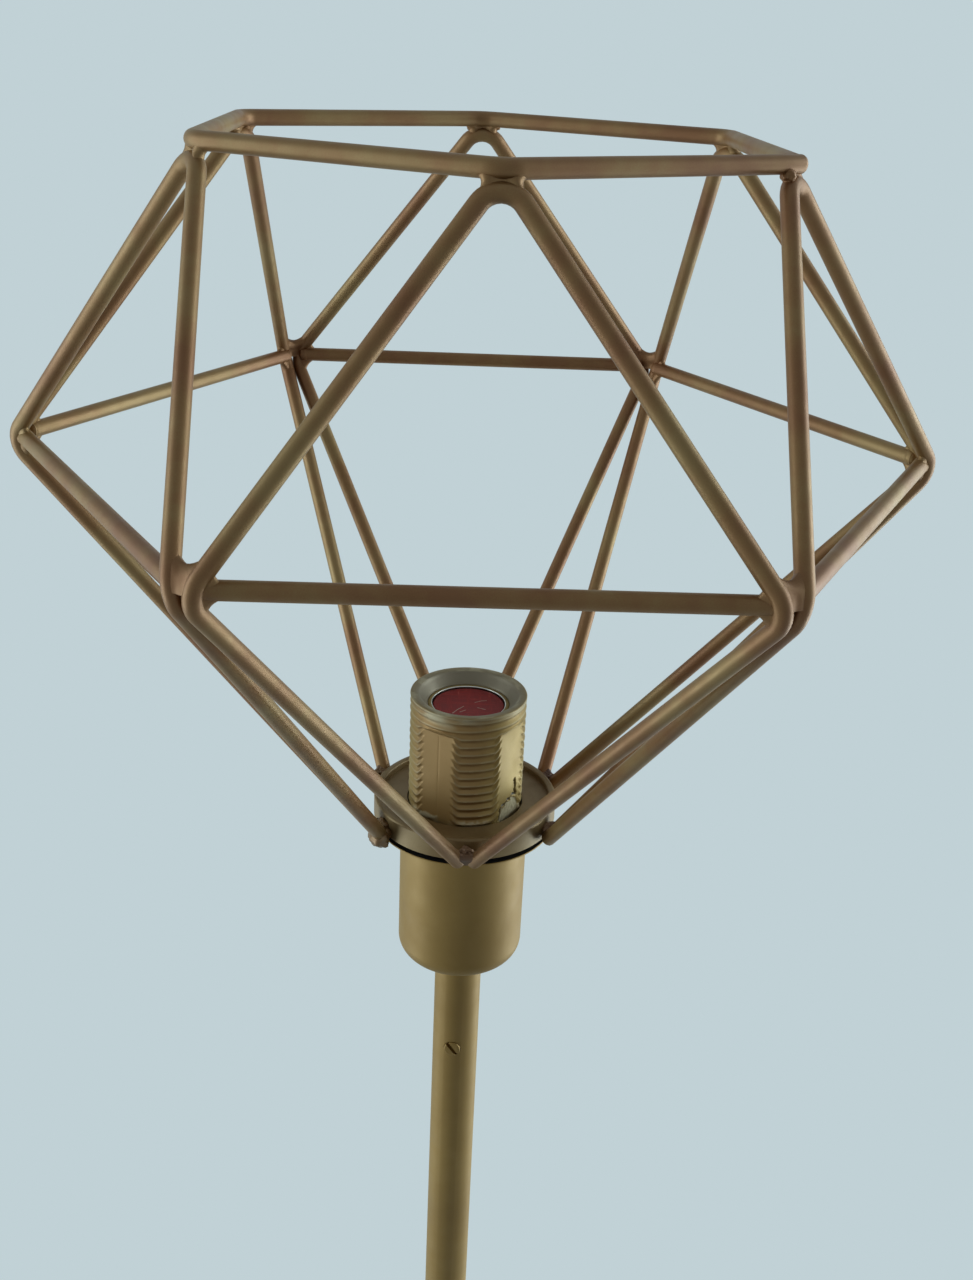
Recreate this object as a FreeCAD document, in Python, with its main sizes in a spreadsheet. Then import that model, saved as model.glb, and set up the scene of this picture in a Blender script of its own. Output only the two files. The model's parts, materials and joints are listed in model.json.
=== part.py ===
"""Wire cage floor lamp: a weighted round base, a pole of three tubes, a cup with a threaded lampholder,
and a hexagonal cage of bent wires that stands on a flanged ring round the lampholder.

Lengths are in millimetres. +Z is up, the floor is z = 0, the pole's axis is the Z axis, and the first
kite-shaped frame of the cage faces -Y.
"""
import FreeCAD, Part
import Sketcher
import math
import os

Vector = FreeCAD.Vector
UP = Vector(0, 0, 1)

doc = FreeCAD.newDocument("wire_cage_floor_lamp")
sheet = doc.addObject("Spreadsheet::Sheet", "sizes")


# Driving dimensions

DRIVING = {
    # clearances, each measured on the radius or across one gap
    "thread_clearance": 0.05,
    "slip_clearance": 0.2,
    "weld_gap": 0.1,
    # base
    "pad_inset": 5,
    "pad_thickness": 2,
    "pad_hole": 50,
    "weight_diameter": 254,
    "weight_thickness": 12,
    "weight_boss_diameter": 60,
    "weight_boss_height": 6,
    "pocket_diameter": 44,
    "pocket_depth": 8,
    "channel_width": 12,
    "channel_depth": 10,
    "cover_rim_gap": 6.8,
    "cover_sheet": 1.2,
    "cover_lift": 2.5,
    "cover_shoulder": 14,
    "cover_round": 4,
    "crown_diameter": 66,
    "washer_diameter": 36,
    "washer_thickness": 2,
    "base_nut_flats": 17,
    "base_nut_thickness": 5.5,
    # cord inlet in the rim of the base
    "inlet_height": 9,
    "inlet_bore": 6.2,
    "grommet_wall": 1.4,
    "grommet_end_gap": 2,
    "grommet_flange": 1.3,
    "grommet_flange_thickness": 1.6,
    # pole
    "pole_diameter": 17,
    "pole_wall": 1.2,
    "section_length": 400,
    "coupler_collar": 3,
    "coupler_waist": 0.8,
    "spigot_length": 20,
    "cord_bore": 7,
    "foot_collar_diameter": 32,
    "foot_collar_height": 12,
    "foot_collar_round": 3,
    "foot_bush_length": 26,
    "top_bush_length": 60,
    "nipple_diameter": 10,
    "nipple_bore": 6.5,
    "nipple_grip": 18,
    "set_screw_diameter": 6,
    "set_screw_drop": 41.5,
    "set_screw_proud": 0.5,
    "set_screw_slot": 1.2,
    "set_screw_slot_depth": 1.4,
    "set_screw_hole_gap": 0.2,
    # lampholder
    "cup_diameter": 44.5,
    "cup_wall": 0.8,
    "cup_height": 55,
    "cup_corner": 6.3,
    "lock_washer_diameter": 17,
    "lock_washer_thickness": 1,
    "cup_nut_flats": 14,
    "cup_nut_thickness": 3,
    "holder_nipple_rise": 20,
    "base_shell_rise": 8.5,
    "base_shell_floor": 3,
    "base_shell_wall": 2.2,
    "base_shell_lip": 1,
    "base_shell_drop": 1.5,
    "base_boss_diameter": 18,
    "base_boss_height": 7,
    "flange_drop": 12.7,
    "block_flange": 3,
    "block_drop": 34,
    "terminal_spacing": 19,
    "terminal_shank": 3.5,
    "terminal_depth": 8,
    "terminal_head_diameter": 6,
    "terminal_head_height": 2,
    "terminal_slot": 0.8,
    "terminal_slot_depth": 0.9,
    "skirt_diameter": 39.5,
    "skirt_rise": 38.5,
    "skirt_bore": 30.6,
    "skirt_chamfer": 0.9,
    "skirt_relief": 0.45,
    "mouth_diameter": 33.2,
    "mouth_depth": 4,
    "mouth_chamfer": 0.6,
    "throat_land": 1.2,
    "shell_diameter": 27.6,
    "shell_wall": 0.5,
    "shell_lip": 0.95,
    "contact_width": 6,
    "contact_thickness": 0.6,
    "contact_rise": 6,
    "contact_reach": 9,
    "side_contact_height": 8,
    # red protective plug in the mouth
    "plug_gap": 0.3,
    "plug_sink": 0.6,
    "plug_disc": 1.6,
    "plug_wall": 1.2,
    "plug_length": 9,
    # shade ring on the thread of the skirt
    "shade_ring_gap": 0.3,
    "shade_flange_inset": 0.5,
    "shade_flange_thickness": 1,
    "shade_hub_diameter": 48,
    "shade_ring_height": 6.9,
    # gallery that the cage wires are welded to
    "hoop_diameter": 63.2,
    "hoop_wall": 2.4,
    "hoop_height": 7.8,
    "hoop_round": 0.8,
    "disc_recess": 2.2,
    "disc_thickness": 1.5,
    "disc_hole_gap": 0.35,
    # cage of bent wires
    "rod": 5,
    "waist_radius": 143,
    "waist_rise": 129.8,
    "waist_bend": 8,
    "apex_radius": 87,
    "apex_rise": 221.4,
    "apex_bend": 6.5,
    "foot_rise": 0.8,
    "ring_inset": 1,
    "ring_bend": 8,
    "ring_overrun": 2.6,
    "bar_inset": 1.5,
    "bar_lift": 1.5,
    # weld metal
    "web_thickness": 2.4,
    "web_start": 2.6,
    "web_height": 9.5,
    "web_hollow": 4.2,
    "ring_fillet_start": 0.8,
    "ring_fillet_end": 5.8,
    "ring_fillet_depth": 3.2,
    "ring_fillet_thickness": 3,
    "ring_fillet_scoop": 1.6,
    "foot_bead": 5.6,
}

FLOOR = 0
AXIS = 0
KITES = 6
TURN = 360.0 / KITES
SET_SCREW_AZIMUTH = -9.0
SLOT_TILT = 37.0


class Length:
    """A length that knows its value and the sheet expression that it comes from."""

    def __init__(self, value, text):
        self.value = float(value)
        self.text = text

    def __add__(self, other):
        return Length(self.value + plain(other), "(%s + %s)" % (self.text, words(other)))

    def __sub__(self, other):
        return Length(self.value - plain(other), "(%s - %s)" % (self.text, words(other)))

    def __mul__(self, other):
        return Length(self.value * plain(other), "(%s * %s)" % (self.text, words(other)))

    def __truediv__(self, other):
        return Length(self.value / plain(other), "(%s / %s)" % (self.text, words(other)))

    def __neg__(self):
        return Length(-self.value, "(0 - %s)" % self.text)


def plain(size):
    """The plain number of a Length or a number."""
    return size.value if isinstance(size, Length) else float(size)


def words(size):
    """The expression of a Length or a number."""
    return size.text if isinstance(size, Length) else repr(float(size))


class Sizes:
    """The driving dimensions, each tied to its cell of the sheet."""


def fill_sheet():
    """Writes the driving dimensions into the sheet and returns them as Lengths."""
    sizes = Sizes()
    for row, (name, value) in enumerate(DRIVING.items(), start=1):
        sheet.set("A%d" % row, name)
        sheet.set("B%d" % row, str(value))
        sheet.setAlias("B%d" % row, name)
        setattr(sizes, name, Length(value, "sizes." + name))
    doc.recompute()
    return sizes


s = fill_sheet()
nodes = []


# Helpers that make document objects

def bind(feature, prop, size):
    """Sets a property from a Length and ties it to the sheet."""
    feature.setExpression(prop, words(size))


def node(feature, label):
    """Marks a feature as a finished piece of the lamp."""
    feature.Label = label
    nodes.append(feature)
    return feature


def cylinder(name, radius, bottom, height):
    """An upright cylinder on the pole's axis."""
    feature = doc.addObject("Part::Cylinder", name)
    bind(feature, "Radius", radius)
    bind(feature, "Height", height)
    bind(feature, "Placement.Base.z", bottom)
    return feature


def cut(name, base, tool):
    """The base without the tool."""
    feature = doc.addObject("Part::Cut", name)
    feature.Base = base
    feature.Tool = tool
    return feature


def fuse(name, base, tool):
    """The base and the tool in one solid."""
    feature = doc.addObject("Part::Fuse", name)
    feature.Base = base
    feature.Tool = tool
    return feature


def tube(label, outside, inside, bottom, height):
    """A plain sleeve on the pole's axis, with its radii given."""
    outer = cylinder(label + "_outside", outside, bottom, height)
    inner = cylinder(label + "_inside", inside, bottom - 1, height + 2)
    return cut(label + "_sleeve", outer, inner)


def origin_plane(body, role):
    """One of the body's own origin planes."""
    for feature in body.Origin.OriginFeatures:
        if feature.Role == role:
            return feature


def sketch_outline(body, name, role, outline):
    """A closed sketch whose corners are all tied to the sheet."""
    sketch = body.newObject("Sketcher::SketchObject", name)
    sketch.AttachmentSupport = [(origin_plane(body, role), "")]
    sketch.MapMode = "FlatFace"
    corners = [Vector(plain(across), plain(height), 0) for across, height in outline]
    count = len(corners)
    for index in range(count):
        sketch.addGeometry(Part.LineSegment(corners[index], corners[(index + 1) % count]), False)
    for index in range(count):
        after = (index + 1) % count
        sketch.addConstraint(Sketcher.Constraint("Coincident", index, 2, after, 1))
    for index, corner in enumerate(outline):
        for kind, axis, size in (("DistanceX", -2, corner[0]), ("DistanceY", -1, corner[1])):
            if plain(size) == 0:
                sketch.addConstraint(Sketcher.Constraint("PointOnObject", index, 1, axis))
                continue
            made = sketch.addConstraint(Sketcher.Constraint(kind, -1, 1, index, 1, plain(size)))
            if isinstance(size, Length):
                sketch.setExpression("Constraints[%d]" % made, size.text)
    return sketch


def turned(label, outline):
    """A body turned about the pole's axis from (radius, height) corners."""
    body = doc.addObject("PartDesign::Body", label + "_body")
    sketch = sketch_outline(body, label + "_profile", "XZ_Plane", outline)
    turn = body.newObject("PartDesign::Revolution", label + "_turned")
    turn.Profile = sketch
    turn.ReferenceAxis = (sketch, ["V_Axis"])
    turn.Angle = 360
    body.Tip = turn
    return node(body, label)


def round_rims(body, name, size, rims):
    """Rounds the circular edges that are given as (radius, height) pairs."""
    doc.recompute()
    base = body.Tip
    picked = []
    for number, edge in enumerate(base.Shape.Edges, start=1):
        if not isinstance(edge.Curve, Part.Circle):
            continue
        for radius, height in rims:
            same_radius = abs(edge.Curve.Radius - plain(radius)) < 0.001
            same_height = abs(edge.Curve.Center.z - plain(height)) < 0.001
            if same_radius and same_height:
                picked.append("Edge%d" % number)
    fillet = body.newObject("PartDesign::Fillet", name)
    fillet.Base = (base, picked)
    bind(fillet, "Radius", size)
    body.Tip = fillet


def hexagon(name, flats, bottom, height):
    """An upright hexagonal prism on the pole's axis, given across its flats."""
    prism = doc.addObject("Part::Prism", name)
    prism.Polygon = 6
    bind(prism, "Circumradius", flats / math.sqrt(3))
    bind(prism, "Height", height)
    bind(prism, "Placement.Base.z", bottom)
    return prism


def made_solid(label, shape, turn=0.0):
    """A piece whose shape is worked out in this file, turned about the pole's axis."""
    feature = doc.addObject("Part::Feature", label + "_shape")
    feature.Shape = shape
    feature.Placement = FreeCAD.Placement(Vector(0, 0, 0), FreeCAD.Rotation(UP, turn))
    return node(feature, label)


# Levels, from the floor up

weight_top = s.pad_thickness + s.weight_thickness
crown_inside = weight_top + s.weight_boss_height
crown_top = crown_inside + s.cover_sheet
pocket_roof = s.pad_thickness + s.pocket_depth
lower_coupling = crown_top + s.section_length
upper_coupling = lower_coupling + s.coupler_collar + s.section_length
upper_start = upper_coupling + s.coupler_collar
pole_top = upper_start + s.section_length
cup_top = pole_top + s.cup_height
hub_top = cup_top + s.shade_ring_height
disc_top = hub_top + s.disc_thickness
hoop_top = disc_top + s.disc_recess
hoop_bottom = hoop_top - s.hoop_height
mouth = hoop_top + s.skirt_rise
flange_bottom = cup_top - s.flange_drop
flange_top = flange_bottom + s.block_flange
block_top = mouth - s.block_drop
shell_top = mouth - s.mouth_depth

weight_radius = s.weight_diameter / 2
pad_radius = weight_radius - s.pad_inset
rim_inside = weight_radius + s.cover_rim_gap
cover_radius = rim_inside + s.cover_sheet
pole_radius = s.pole_diameter / 2
tube_bore = pole_radius - s.pole_wall
plug_in_tube = tube_bore - s.thread_clearance
nipple_radius = s.nipple_diameter / 2
nipple_hole = nipple_radius + s.thread_clearance
cup_radius = s.cup_diameter / 2
cup_bore = cup_radius - s.cup_wall
skirt_radius = s.skirt_diameter / 2
base_shell_radius = cup_bore - s.slip_clearance
skirt_foot = base_shell_radius - s.base_shell_lip - s.thread_clearance
screw_shell_radius = s.shell_diameter / 2
screw_shell_bore = screw_shell_radius - s.shell_wall


# Base

def make_base():
    """The pad, weight, cover and the nipple, washer and nut that hold them to the pole."""
    pad = tube("base_pad", pad_radius, s.pad_hole / 2, FLOOR, s.pad_thickness)
    node(pad, "base_pad")

    boss_radius = s.weight_boss_diameter / 2
    weight = turned("base_weight", [
        (nipple_hole, pocket_roof),
        (s.pocket_diameter / 2, pocket_roof),
        (s.pocket_diameter / 2, s.pad_thickness),
        (weight_radius, s.pad_thickness),
        (weight_radius, weight_top),
        (boss_radius, weight_top),
        (boss_radius, crown_inside),
        (nipple_hole, crown_inside),
    ])
    half_channel = s.channel_width / 2
    channel_sketch = sketch_outline(weight, "channel_profile", "XZ_Plane", [
        (-half_channel, FLOOR),
        (half_channel, FLOOR),
        (half_channel, s.pad_thickness + s.channel_depth),
        (-half_channel, s.pad_thickness + s.channel_depth),
    ])
    channel = weight.newObject("PartDesign::Pocket", "cord_channel")
    channel.Profile = channel_sketch
    channel.Reversed = False
    bind(channel, "Length", s.weight_diameter)
    weight.Tip = channel

    crown_radius = s.crown_diameter / 2
    shoulder = s.cover_lift + s.cover_shoulder
    cover = turned("base_cover", [
        (nipple_hole, crown_inside),
        (crown_radius, crown_inside),
        (rim_inside, shoulder - s.cover_sheet),
        (rim_inside, s.cover_lift),
        (cover_radius, s.cover_lift),
        (cover_radius, shoulder),
        (crown_radius, crown_top),
        (nipple_hole, crown_top),
    ])
    round_rims(cover, "cover_shoulder_round", s.cover_round, [(cover_radius, shoulder)])
    inlet_sketch = cover.newObject("Sketcher::SketchObject", "inlet_profile")
    inlet_sketch.AttachmentSupport = [(origin_plane(cover, "XZ_Plane"), "")]
    inlet_sketch.MapMode = "FlatFace"
    inlet_radius = s.inlet_bore / 2 + s.grommet_wall + s.thread_clearance
    centre = Vector(0, s.inlet_height.value, 0)
    inlet_sketch.addGeometry(Part.Circle(centre, Vector(0, 0, 1), inlet_radius.value), False)
    inlet_sketch.addConstraint(Sketcher.Constraint("PointOnObject", 0, 3, -2))
    rise = inlet_sketch.addConstraint(Sketcher.Constraint("DistanceY", -1, 1, 0, 3, s.inlet_height.value))
    inlet_sketch.setExpression("Constraints[%d]" % rise, s.inlet_height.text)
    size = inlet_sketch.addConstraint(Sketcher.Constraint("Radius", 0, inlet_radius.value))
    inlet_sketch.setExpression("Constraints[%d]" % size, inlet_radius.text)
    inlet = cover.newObject("PartDesign::Pocket", "inlet_hole")
    inlet.Profile = inlet_sketch
    inlet.Reversed = False
    bind(inlet, "Length", cover_radius * 2)
    cover.Tip = inlet

    washer = tube("base_washer", s.washer_diameter / 2, nipple_hole, pocket_roof - s.washer_thickness,
                  s.washer_thickness)
    node(washer, "base_washer")
    nut_bottom = pocket_roof - s.washer_thickness - s.base_nut_thickness
    nut_blank = hexagon("base_nut_blank", s.base_nut_flats, nut_bottom, s.base_nut_thickness)
    nut_bore = cylinder("base_nut_bore", nipple_hole, nut_bottom - 1, s.base_nut_thickness + 2)
    node(cut("base_nut_cut", nut_blank, nut_bore), "base_nut")
    nipple = tube("base_nipple", nipple_radius, s.nipple_bore / 2, nut_bottom,
                  crown_top - nut_bottom + s.foot_bush_length)
    node(nipple, "base_nipple")


def make_cord_grommet():
    """The rubber bush of the cord inlet, set from inside into the rim at the back."""
    bore = s.inlet_bore / 2
    sleeve = bore + s.grommet_wall
    flange = sleeve + s.grommet_flange
    flange_face = math.sqrt(rim_inside.value ** 2 - flange.value ** 2) - s.weld_gap.value
    start = (weight_radius + s.grommet_end_gap).value
    outer_end = math.sqrt(cover_radius.value ** 2 - sleeve.value ** 2)

    def rod(radius, near, far):
        return Part.makeCylinder(radius, far - near, Vector(0, near, s.inlet_height.value), Vector(0, 1, 0))

    body = rod(sleeve.value, start, outer_end)
    body = body.fuse(rod(flange.value, flange_face - s.grommet_flange_thickness.value, flange_face))
    body = body.cut(rod(bore.value, start - 1, cover_radius.value + 1)).removeSplitter()
    made_solid("cord_grommet", body.Solids[0])


# Pole

def make_pole():
    """Three tubes, their couplers, the collar and bush at the foot and the bush at the top."""
    collar_bore = pole_radius + s.slip_clearance
    collar_radius = s.foot_collar_diameter / 2
    collar_top = crown_top + s.foot_collar_height
    collar = turned("pole_foot_collar", [
        (collar_bore, crown_top),
        (collar_radius, crown_top),
        (collar_radius, collar_top),
        (collar_bore, collar_top),
    ])
    round_rims(collar, "foot_collar_round_edge", s.foot_collar_round, [(collar_radius, collar_top)])

    bush = tube("pole_foot_bush", plug_in_tube, nipple_hole, crown_top, s.foot_bush_length)
    node(bush, "pole_foot_bush")

    node(tube("pole_lower", pole_radius, tube_bore, crown_top, s.section_length), "pole_lower")
    middle_start = lower_coupling + s.coupler_collar
    node(tube("pole_middle", pole_radius, tube_bore, middle_start, s.section_length), "pole_middle")

    for label, level in (("pole_coupler_lower", lower_coupling), ("pole_coupler_upper", upper_coupling)):
        collar_end = level + s.coupler_collar
        middle = level + s.coupler_collar / 2
        turned(label, [
            (s.cord_bore / 2, level - s.spigot_length),
            (plug_in_tube, level - s.spigot_length),
            (plug_in_tube, level),
            (pole_radius, level),
            (pole_radius - s.coupler_waist, middle),
            (pole_radius, collar_end),
            (plug_in_tube, collar_end),
            (plug_in_tube, collar_end + s.spigot_length),
            (s.cord_bore / 2, collar_end + s.spigot_length),
        ])


def cross_hole(name, radius, level, near, far):
    """A radial cylinder at the set screw's azimuth, from one distance off the axis to another."""
    azimuth = math.radians(SET_SCREW_AZIMUTH)
    feature = doc.addObject("Part::Cylinder", name)
    bind(feature, "Radius", radius)
    bind(feature, "Height", far - near)
    outward = Vector(math.sin(azimuth), -math.cos(azimuth), 0)
    feature.Placement = FreeCAD.Placement(Vector(0, 0, 0), FreeCAD.Rotation(UP, outward))
    bind(feature, "Placement.Base.x", near * outward.x)
    bind(feature, "Placement.Base.y", near * outward.y)
    bind(feature, "Placement.Base.z", level)
    return feature


def make_pole_top():
    """The upper tube, the bush inside it and the slotted screw that holds the bush."""
    screw_level = pole_top - s.set_screw_drop
    screw_radius = s.set_screw_diameter / 2
    hole_radius = screw_radius + s.set_screw_hole_gap

    upper = tube("pole_upper", pole_radius, tube_bore, upper_start, s.section_length)
    upper_hole = cross_hole("pole_upper_hole", hole_radius, screw_level, tube_bore - 2, pole_radius + 2)
    node(cut("pole_upper_drilled", upper, upper_hole), "pole_upper")

    bush_bottom = pole_top - s.top_bush_length
    grip_bottom = pole_top - s.nipple_grip
    bush = turned("pole_top_bush", [
        (s.cord_bore / 2, bush_bottom),
        (plug_in_tube, bush_bottom),
        (plug_in_tube, pole_top),
        (nipple_hole, pole_top),
        (nipple_hole, grip_bottom),
        (s.cord_bore / 2, grip_bottom),
    ])
    nodes.remove(bush)
    bush.Label = "pole_top_bush_blank"
    tapped = cross_hole("pole_top_bush_tapped", screw_radius + s.thread_clearance, screw_level,
                        s.cord_bore / 2 - 2, pole_radius)
    node(cut("pole_top_bush_drilled", bush, tapped), "pole_top_bush")

    screw_start = s.cord_bore / 2 + s.slip_clearance * 2
    screw_end = pole_radius + s.set_screw_proud
    blank = cross_hole("set_screw_blank", screw_radius, screw_level, screw_start, screw_end)
    azimuth = math.radians(SET_SCREW_AZIMUTH)
    outward = Vector(math.sin(azimuth), -math.cos(azimuth), 0)
    sideways = Vector(math.cos(azimuth), math.sin(azimuth), 0)
    slot = doc.addObject("Part::Box", "set_screw_slot_tool")
    bind(slot, "Length", s.set_screw_diameter + 2)
    bind(slot, "Width", s.set_screw_slot)
    bind(slot, "Height", s.set_screw_slot_depth + 1)
    tilt = math.radians(SLOT_TILT)
    along = sideways * math.sin(tilt) * -1 + UP * math.cos(tilt)
    across = outward.cross(along)
    length = s.set_screw_diameter + 2
    depth = screw_end - s.set_screw_slot_depth
    slot.Placement = FreeCAD.Placement(Vector(0, 0, 0), FreeCAD.Rotation(along, across, outward, "ZXY"))
    for axis in ("x", "y", "z"):
        place = depth * getattr(outward, axis)
        place = place - length * (getattr(along, axis) / 2)
        place = place - s.set_screw_slot * (getattr(across, axis) / 2)
        if axis == "z":
            place = place + screw_level
        bind(slot, "Placement.Base." + axis, place)
    node(cut("set_screw_slotted", blank, slot), "set_screw")


# Lampholder

def make_cup():
    """The spun cup on top of the pole, with the nipple, washer and nut that clamp it."""
    cup = turned("holder_cup", [
        (nipple_hole, pole_top),
        (cup_radius, pole_top),
        (cup_radius, cup_top),
        (cup_bore, cup_top),
        (cup_bore, pole_top + s.cup_wall),
        (nipple_hole, pole_top + s.cup_wall),
    ])
    round_rims(cup, "cup_corner_outside", s.cup_corner, [(cup_radius, pole_top)])
    round_rims(cup, "cup_corner_inside", s.cup_corner - s.cup_wall, [(cup_bore, pole_top + s.cup_wall)])

    floor = pole_top + s.cup_wall
    nipple = tube("holder_nipple", nipple_radius, s.nipple_bore / 2, pole_top - s.nipple_grip,
                  s.nipple_grip + s.holder_nipple_rise)
    node(nipple, "holder_nipple")
    washer = tube("cup_lock_washer", s.lock_washer_diameter / 2, nipple_hole, floor, s.lock_washer_thickness)
    node(washer, "cup_lock_washer")
    nut_bottom = floor + s.lock_washer_thickness
    blank = hexagon("cup_nut_blank", s.cup_nut_flats, nut_bottom, s.cup_nut_thickness)
    bore = cylinder("cup_nut_bore", nipple_hole, nut_bottom - 1, s.cup_nut_thickness + 2)
    node(cut("cup_nut_cut", blank, bore), "cup_nut")


def make_holder_insides():
    """The insulating base shell, the contact block, its terminal screws, the shell and contacts."""
    base_top = cup_top - s.base_shell_drop
    base_bottom = pole_top + s.base_shell_rise
    base_floor = base_bottom + s.base_shell_floor
    boss_top = base_floor + s.base_boss_height
    turned("holder_base", [
        (nipple_hole, base_bottom),
        (base_shell_radius, base_bottom),
        (base_shell_radius, base_top),
        (base_shell_radius - s.base_shell_lip, base_top),
        (base_shell_radius - s.base_shell_lip, flange_bottom),
        (base_shell_radius - s.base_shell_wall, flange_bottom),
        (base_shell_radius - s.base_shell_wall, base_floor),
        (s.base_boss_diameter / 2, base_floor),
        (s.base_boss_diameter / 2, boss_top),
        (nipple_hole, boss_top),
    ])

    block_radius = s.skirt_bore / 2 - s.slip_clearance
    block = turned("contact_block", [
        (AXIS, flange_bottom),
        (skirt_foot - s.thread_clearance, flange_bottom),
        (skirt_foot - s.thread_clearance, flange_top),
        (block_radius, flange_top),
        (block_radius, block_top),
        (AXIS, block_top),
    ])
    nodes.remove(block)
    block.Label = "contact_block_blank"
    drilled = block
    for side in (-1, 1):
        hole = cylinder("terminal_hole", s.terminal_shank / 2 + s.thread_clearance, flange_bottom - 1,
                        s.terminal_depth + 1 + s.thread_clearance)
        bind(hole, "Placement.Base.x", s.terminal_spacing * (side / 2))
        drilled = cut("contact_block_drilled", drilled, hole)
    node(drilled, "contact_block")

    screws = []
    for side in (-1, 1):
        place = s.terminal_spacing * (side / 2)
        shank = cylinder("terminal_shank", s.terminal_shank / 2, flange_bottom, s.terminal_depth)
        head = cylinder("terminal_head", s.terminal_head_diameter / 2,
                        flange_bottom - s.terminal_head_height, s.terminal_head_height)
        slot = doc.addObject("Part::Box", "terminal_slot")
        bind(slot, "Length", s.terminal_head_diameter + 2)
        bind(slot, "Width", s.terminal_slot)
        bind(slot, "Height", s.terminal_slot_depth + 1)
        bind(shank, "Placement.Base.x", place)
        bind(head, "Placement.Base.x", place)
        bind(slot, "Placement.Base.x", place - s.terminal_head_diameter / 2 - 1)
        bind(slot, "Placement.Base.y", -(s.terminal_slot / 2))
        bind(slot, "Placement.Base.z", flange_bottom - s.terminal_head_height - 1)
        screws.append(cut("terminal_screw", fuse("terminal_screw_blank", head, shank), slot))
    pair = doc.addObject("Part::Compound", "terminal_pair")
    pair.Links = screws
    node(pair, "terminal_screws")

    lip_bore = screw_shell_bore - s.shell_lip
    turned("screw_shell", [
        (screw_shell_bore, block_top),
        (screw_shell_radius, block_top),
        (screw_shell_radius, shell_top),
        (lip_bore, shell_top),
        (lip_bore, shell_top - s.shell_wall),
        (screw_shell_bore, shell_top - s.shell_wall),
    ])

    body = doc.addObject("PartDesign::Body", "centre_contact_body")
    thick = s.contact_thickness
    tongue = sketch_outline(body, "centre_contact_profile", "XZ_Plane", [
        (-s.contact_reach, block_top),
        (AXIS, block_top),
        (s.contact_reach / 2, block_top + s.contact_rise - thick),
        (s.contact_reach / 2, block_top + s.contact_rise),
        (-thick, block_top + thick),
        (-s.contact_reach, block_top + thick),
    ])
    strip = body.newObject("PartDesign::Pad", "centre_contact_strip")
    strip.Profile = tongue
    strip.Midplane = True
    bind(strip, "Length", s.contact_width)
    body.Tip = strip
    node(body, "centre_contact")

    side_strip = doc.addObject("Part::Box", "side_contact_strip")
    bind(side_strip, "Length", s.contact_thickness)
    bind(side_strip, "Width", s.contact_width)
    bind(side_strip, "Height", s.side_contact_height)
    bind(side_strip, "Placement.Base.x", screw_shell_radius + s.thread_clearance)
    bind(side_strip, "Placement.Base.y", -(s.contact_width / 2))
    bind(side_strip, "Placement.Base.z", block_top)
    node(side_strip, "side_contact")


def make_skirt_and_shade_ring():
    """The threaded skirt of the lampholder and the flanged ring that screws down it to the cup."""
    bore = s.skirt_bore / 2
    opening = s.mouth_diameter / 2
    throat = screw_shell_radius + s.thread_clearance
    land_bottom = shell_top - s.throat_land
    relief_top = cup_top + s.shade_flange_thickness
    turned("holder_skirt", [
        (bore, flange_top),
        (skirt_foot, flange_top),
        (skirt_foot, cup_top),
        (skirt_radius - s.skirt_relief, cup_top),
        (skirt_radius - s.skirt_relief, relief_top),
        (skirt_radius, relief_top + s.skirt_relief),
        (skirt_radius, mouth - s.skirt_chamfer),
        (skirt_radius - s.skirt_chamfer, mouth),
        (opening + s.mouth_chamfer, mouth),
        (opening, mouth - s.mouth_chamfer),
        (throat, shell_top),
        (throat, land_bottom),
        (bore, land_bottom),
    ])
    ring_bore = skirt_radius + s.shade_ring_gap
    flange_radius = s.hoop_diameter / 2 - s.shade_flange_inset
    turned("shade_ring", [
        (ring_bore, cup_top),
        (flange_radius, cup_top),
        (flange_radius, cup_top + s.shade_flange_thickness),
        (s.shade_hub_diameter / 2, cup_top + s.shade_flange_thickness),
        (s.shade_hub_diameter / 2, hub_top),
        (ring_bore, hub_top),
    ])


def make_socket_plug():
    """The red protective cap that is pushed into the mouth of the lampholder."""
    radius = screw_shell_bore - s.shell_lip - s.plug_gap
    top = shell_top - s.plug_sink
    turned("socket_plug", [
        (AXIS, top - s.plug_disc),
        (radius - s.plug_wall, top - s.plug_disc),
        (radius - s.plug_wall, top - s.plug_length),
        (radius, top - s.plug_length),
        (radius, top),
        (AXIS, top),
    ])


# Gallery of the cage

def make_gallery():
    """The flat hoop and the recessed disc that carry the cage round the lampholder."""
    outside = s.hoop_diameter / 2
    inside = outside - s.hoop_wall
    hoop = turned("gallery_hoop", [
        (inside, hoop_bottom),
        (outside, hoop_bottom),
        (outside, hoop_top),
        (inside, hoop_top),
    ])
    round_rims(hoop, "hoop_rim_round", s.hoop_round, [(outside, hoop_top), (inside, hoop_top)])
    hole = skirt_radius + s.disc_hole_gap
    node(tube("gallery_disc", inside, hole, hub_top, s.disc_thickness), "gallery_disc")


# Cage of bent wires

rod_radius = s.rod.value / 2
gap = s.weld_gap.value
waist_level = hoop_bottom.value + s.waist_rise.value
apex_level = hoop_bottom.value + s.apex_rise.value
foot_level = hoop_bottom.value + s.foot_rise.value
MIRROR = math.radians(TURN / 2)
MIRROR_RADIAL = Vector(math.sin(MIRROR), -math.cos(MIRROR), 0)
MIRROR_SIDE = Vector(math.cos(MIRROR), math.sin(MIRROR), 0)


def bend(before, corner, after, radius):
    """Start, middle and end of the arc of this radius that rounds a corner of a wire."""
    back = (before - corner).normalize()
    ahead = (after - corner).normalize()
    half = back.getAngle(ahead) / 2
    inward = (back + ahead).normalize()
    reach = radius / math.tan(half)
    middle = corner + inward * (radius / math.sin(half) - radius)
    return corner + back * reach, middle, corner + ahead * reach


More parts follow.
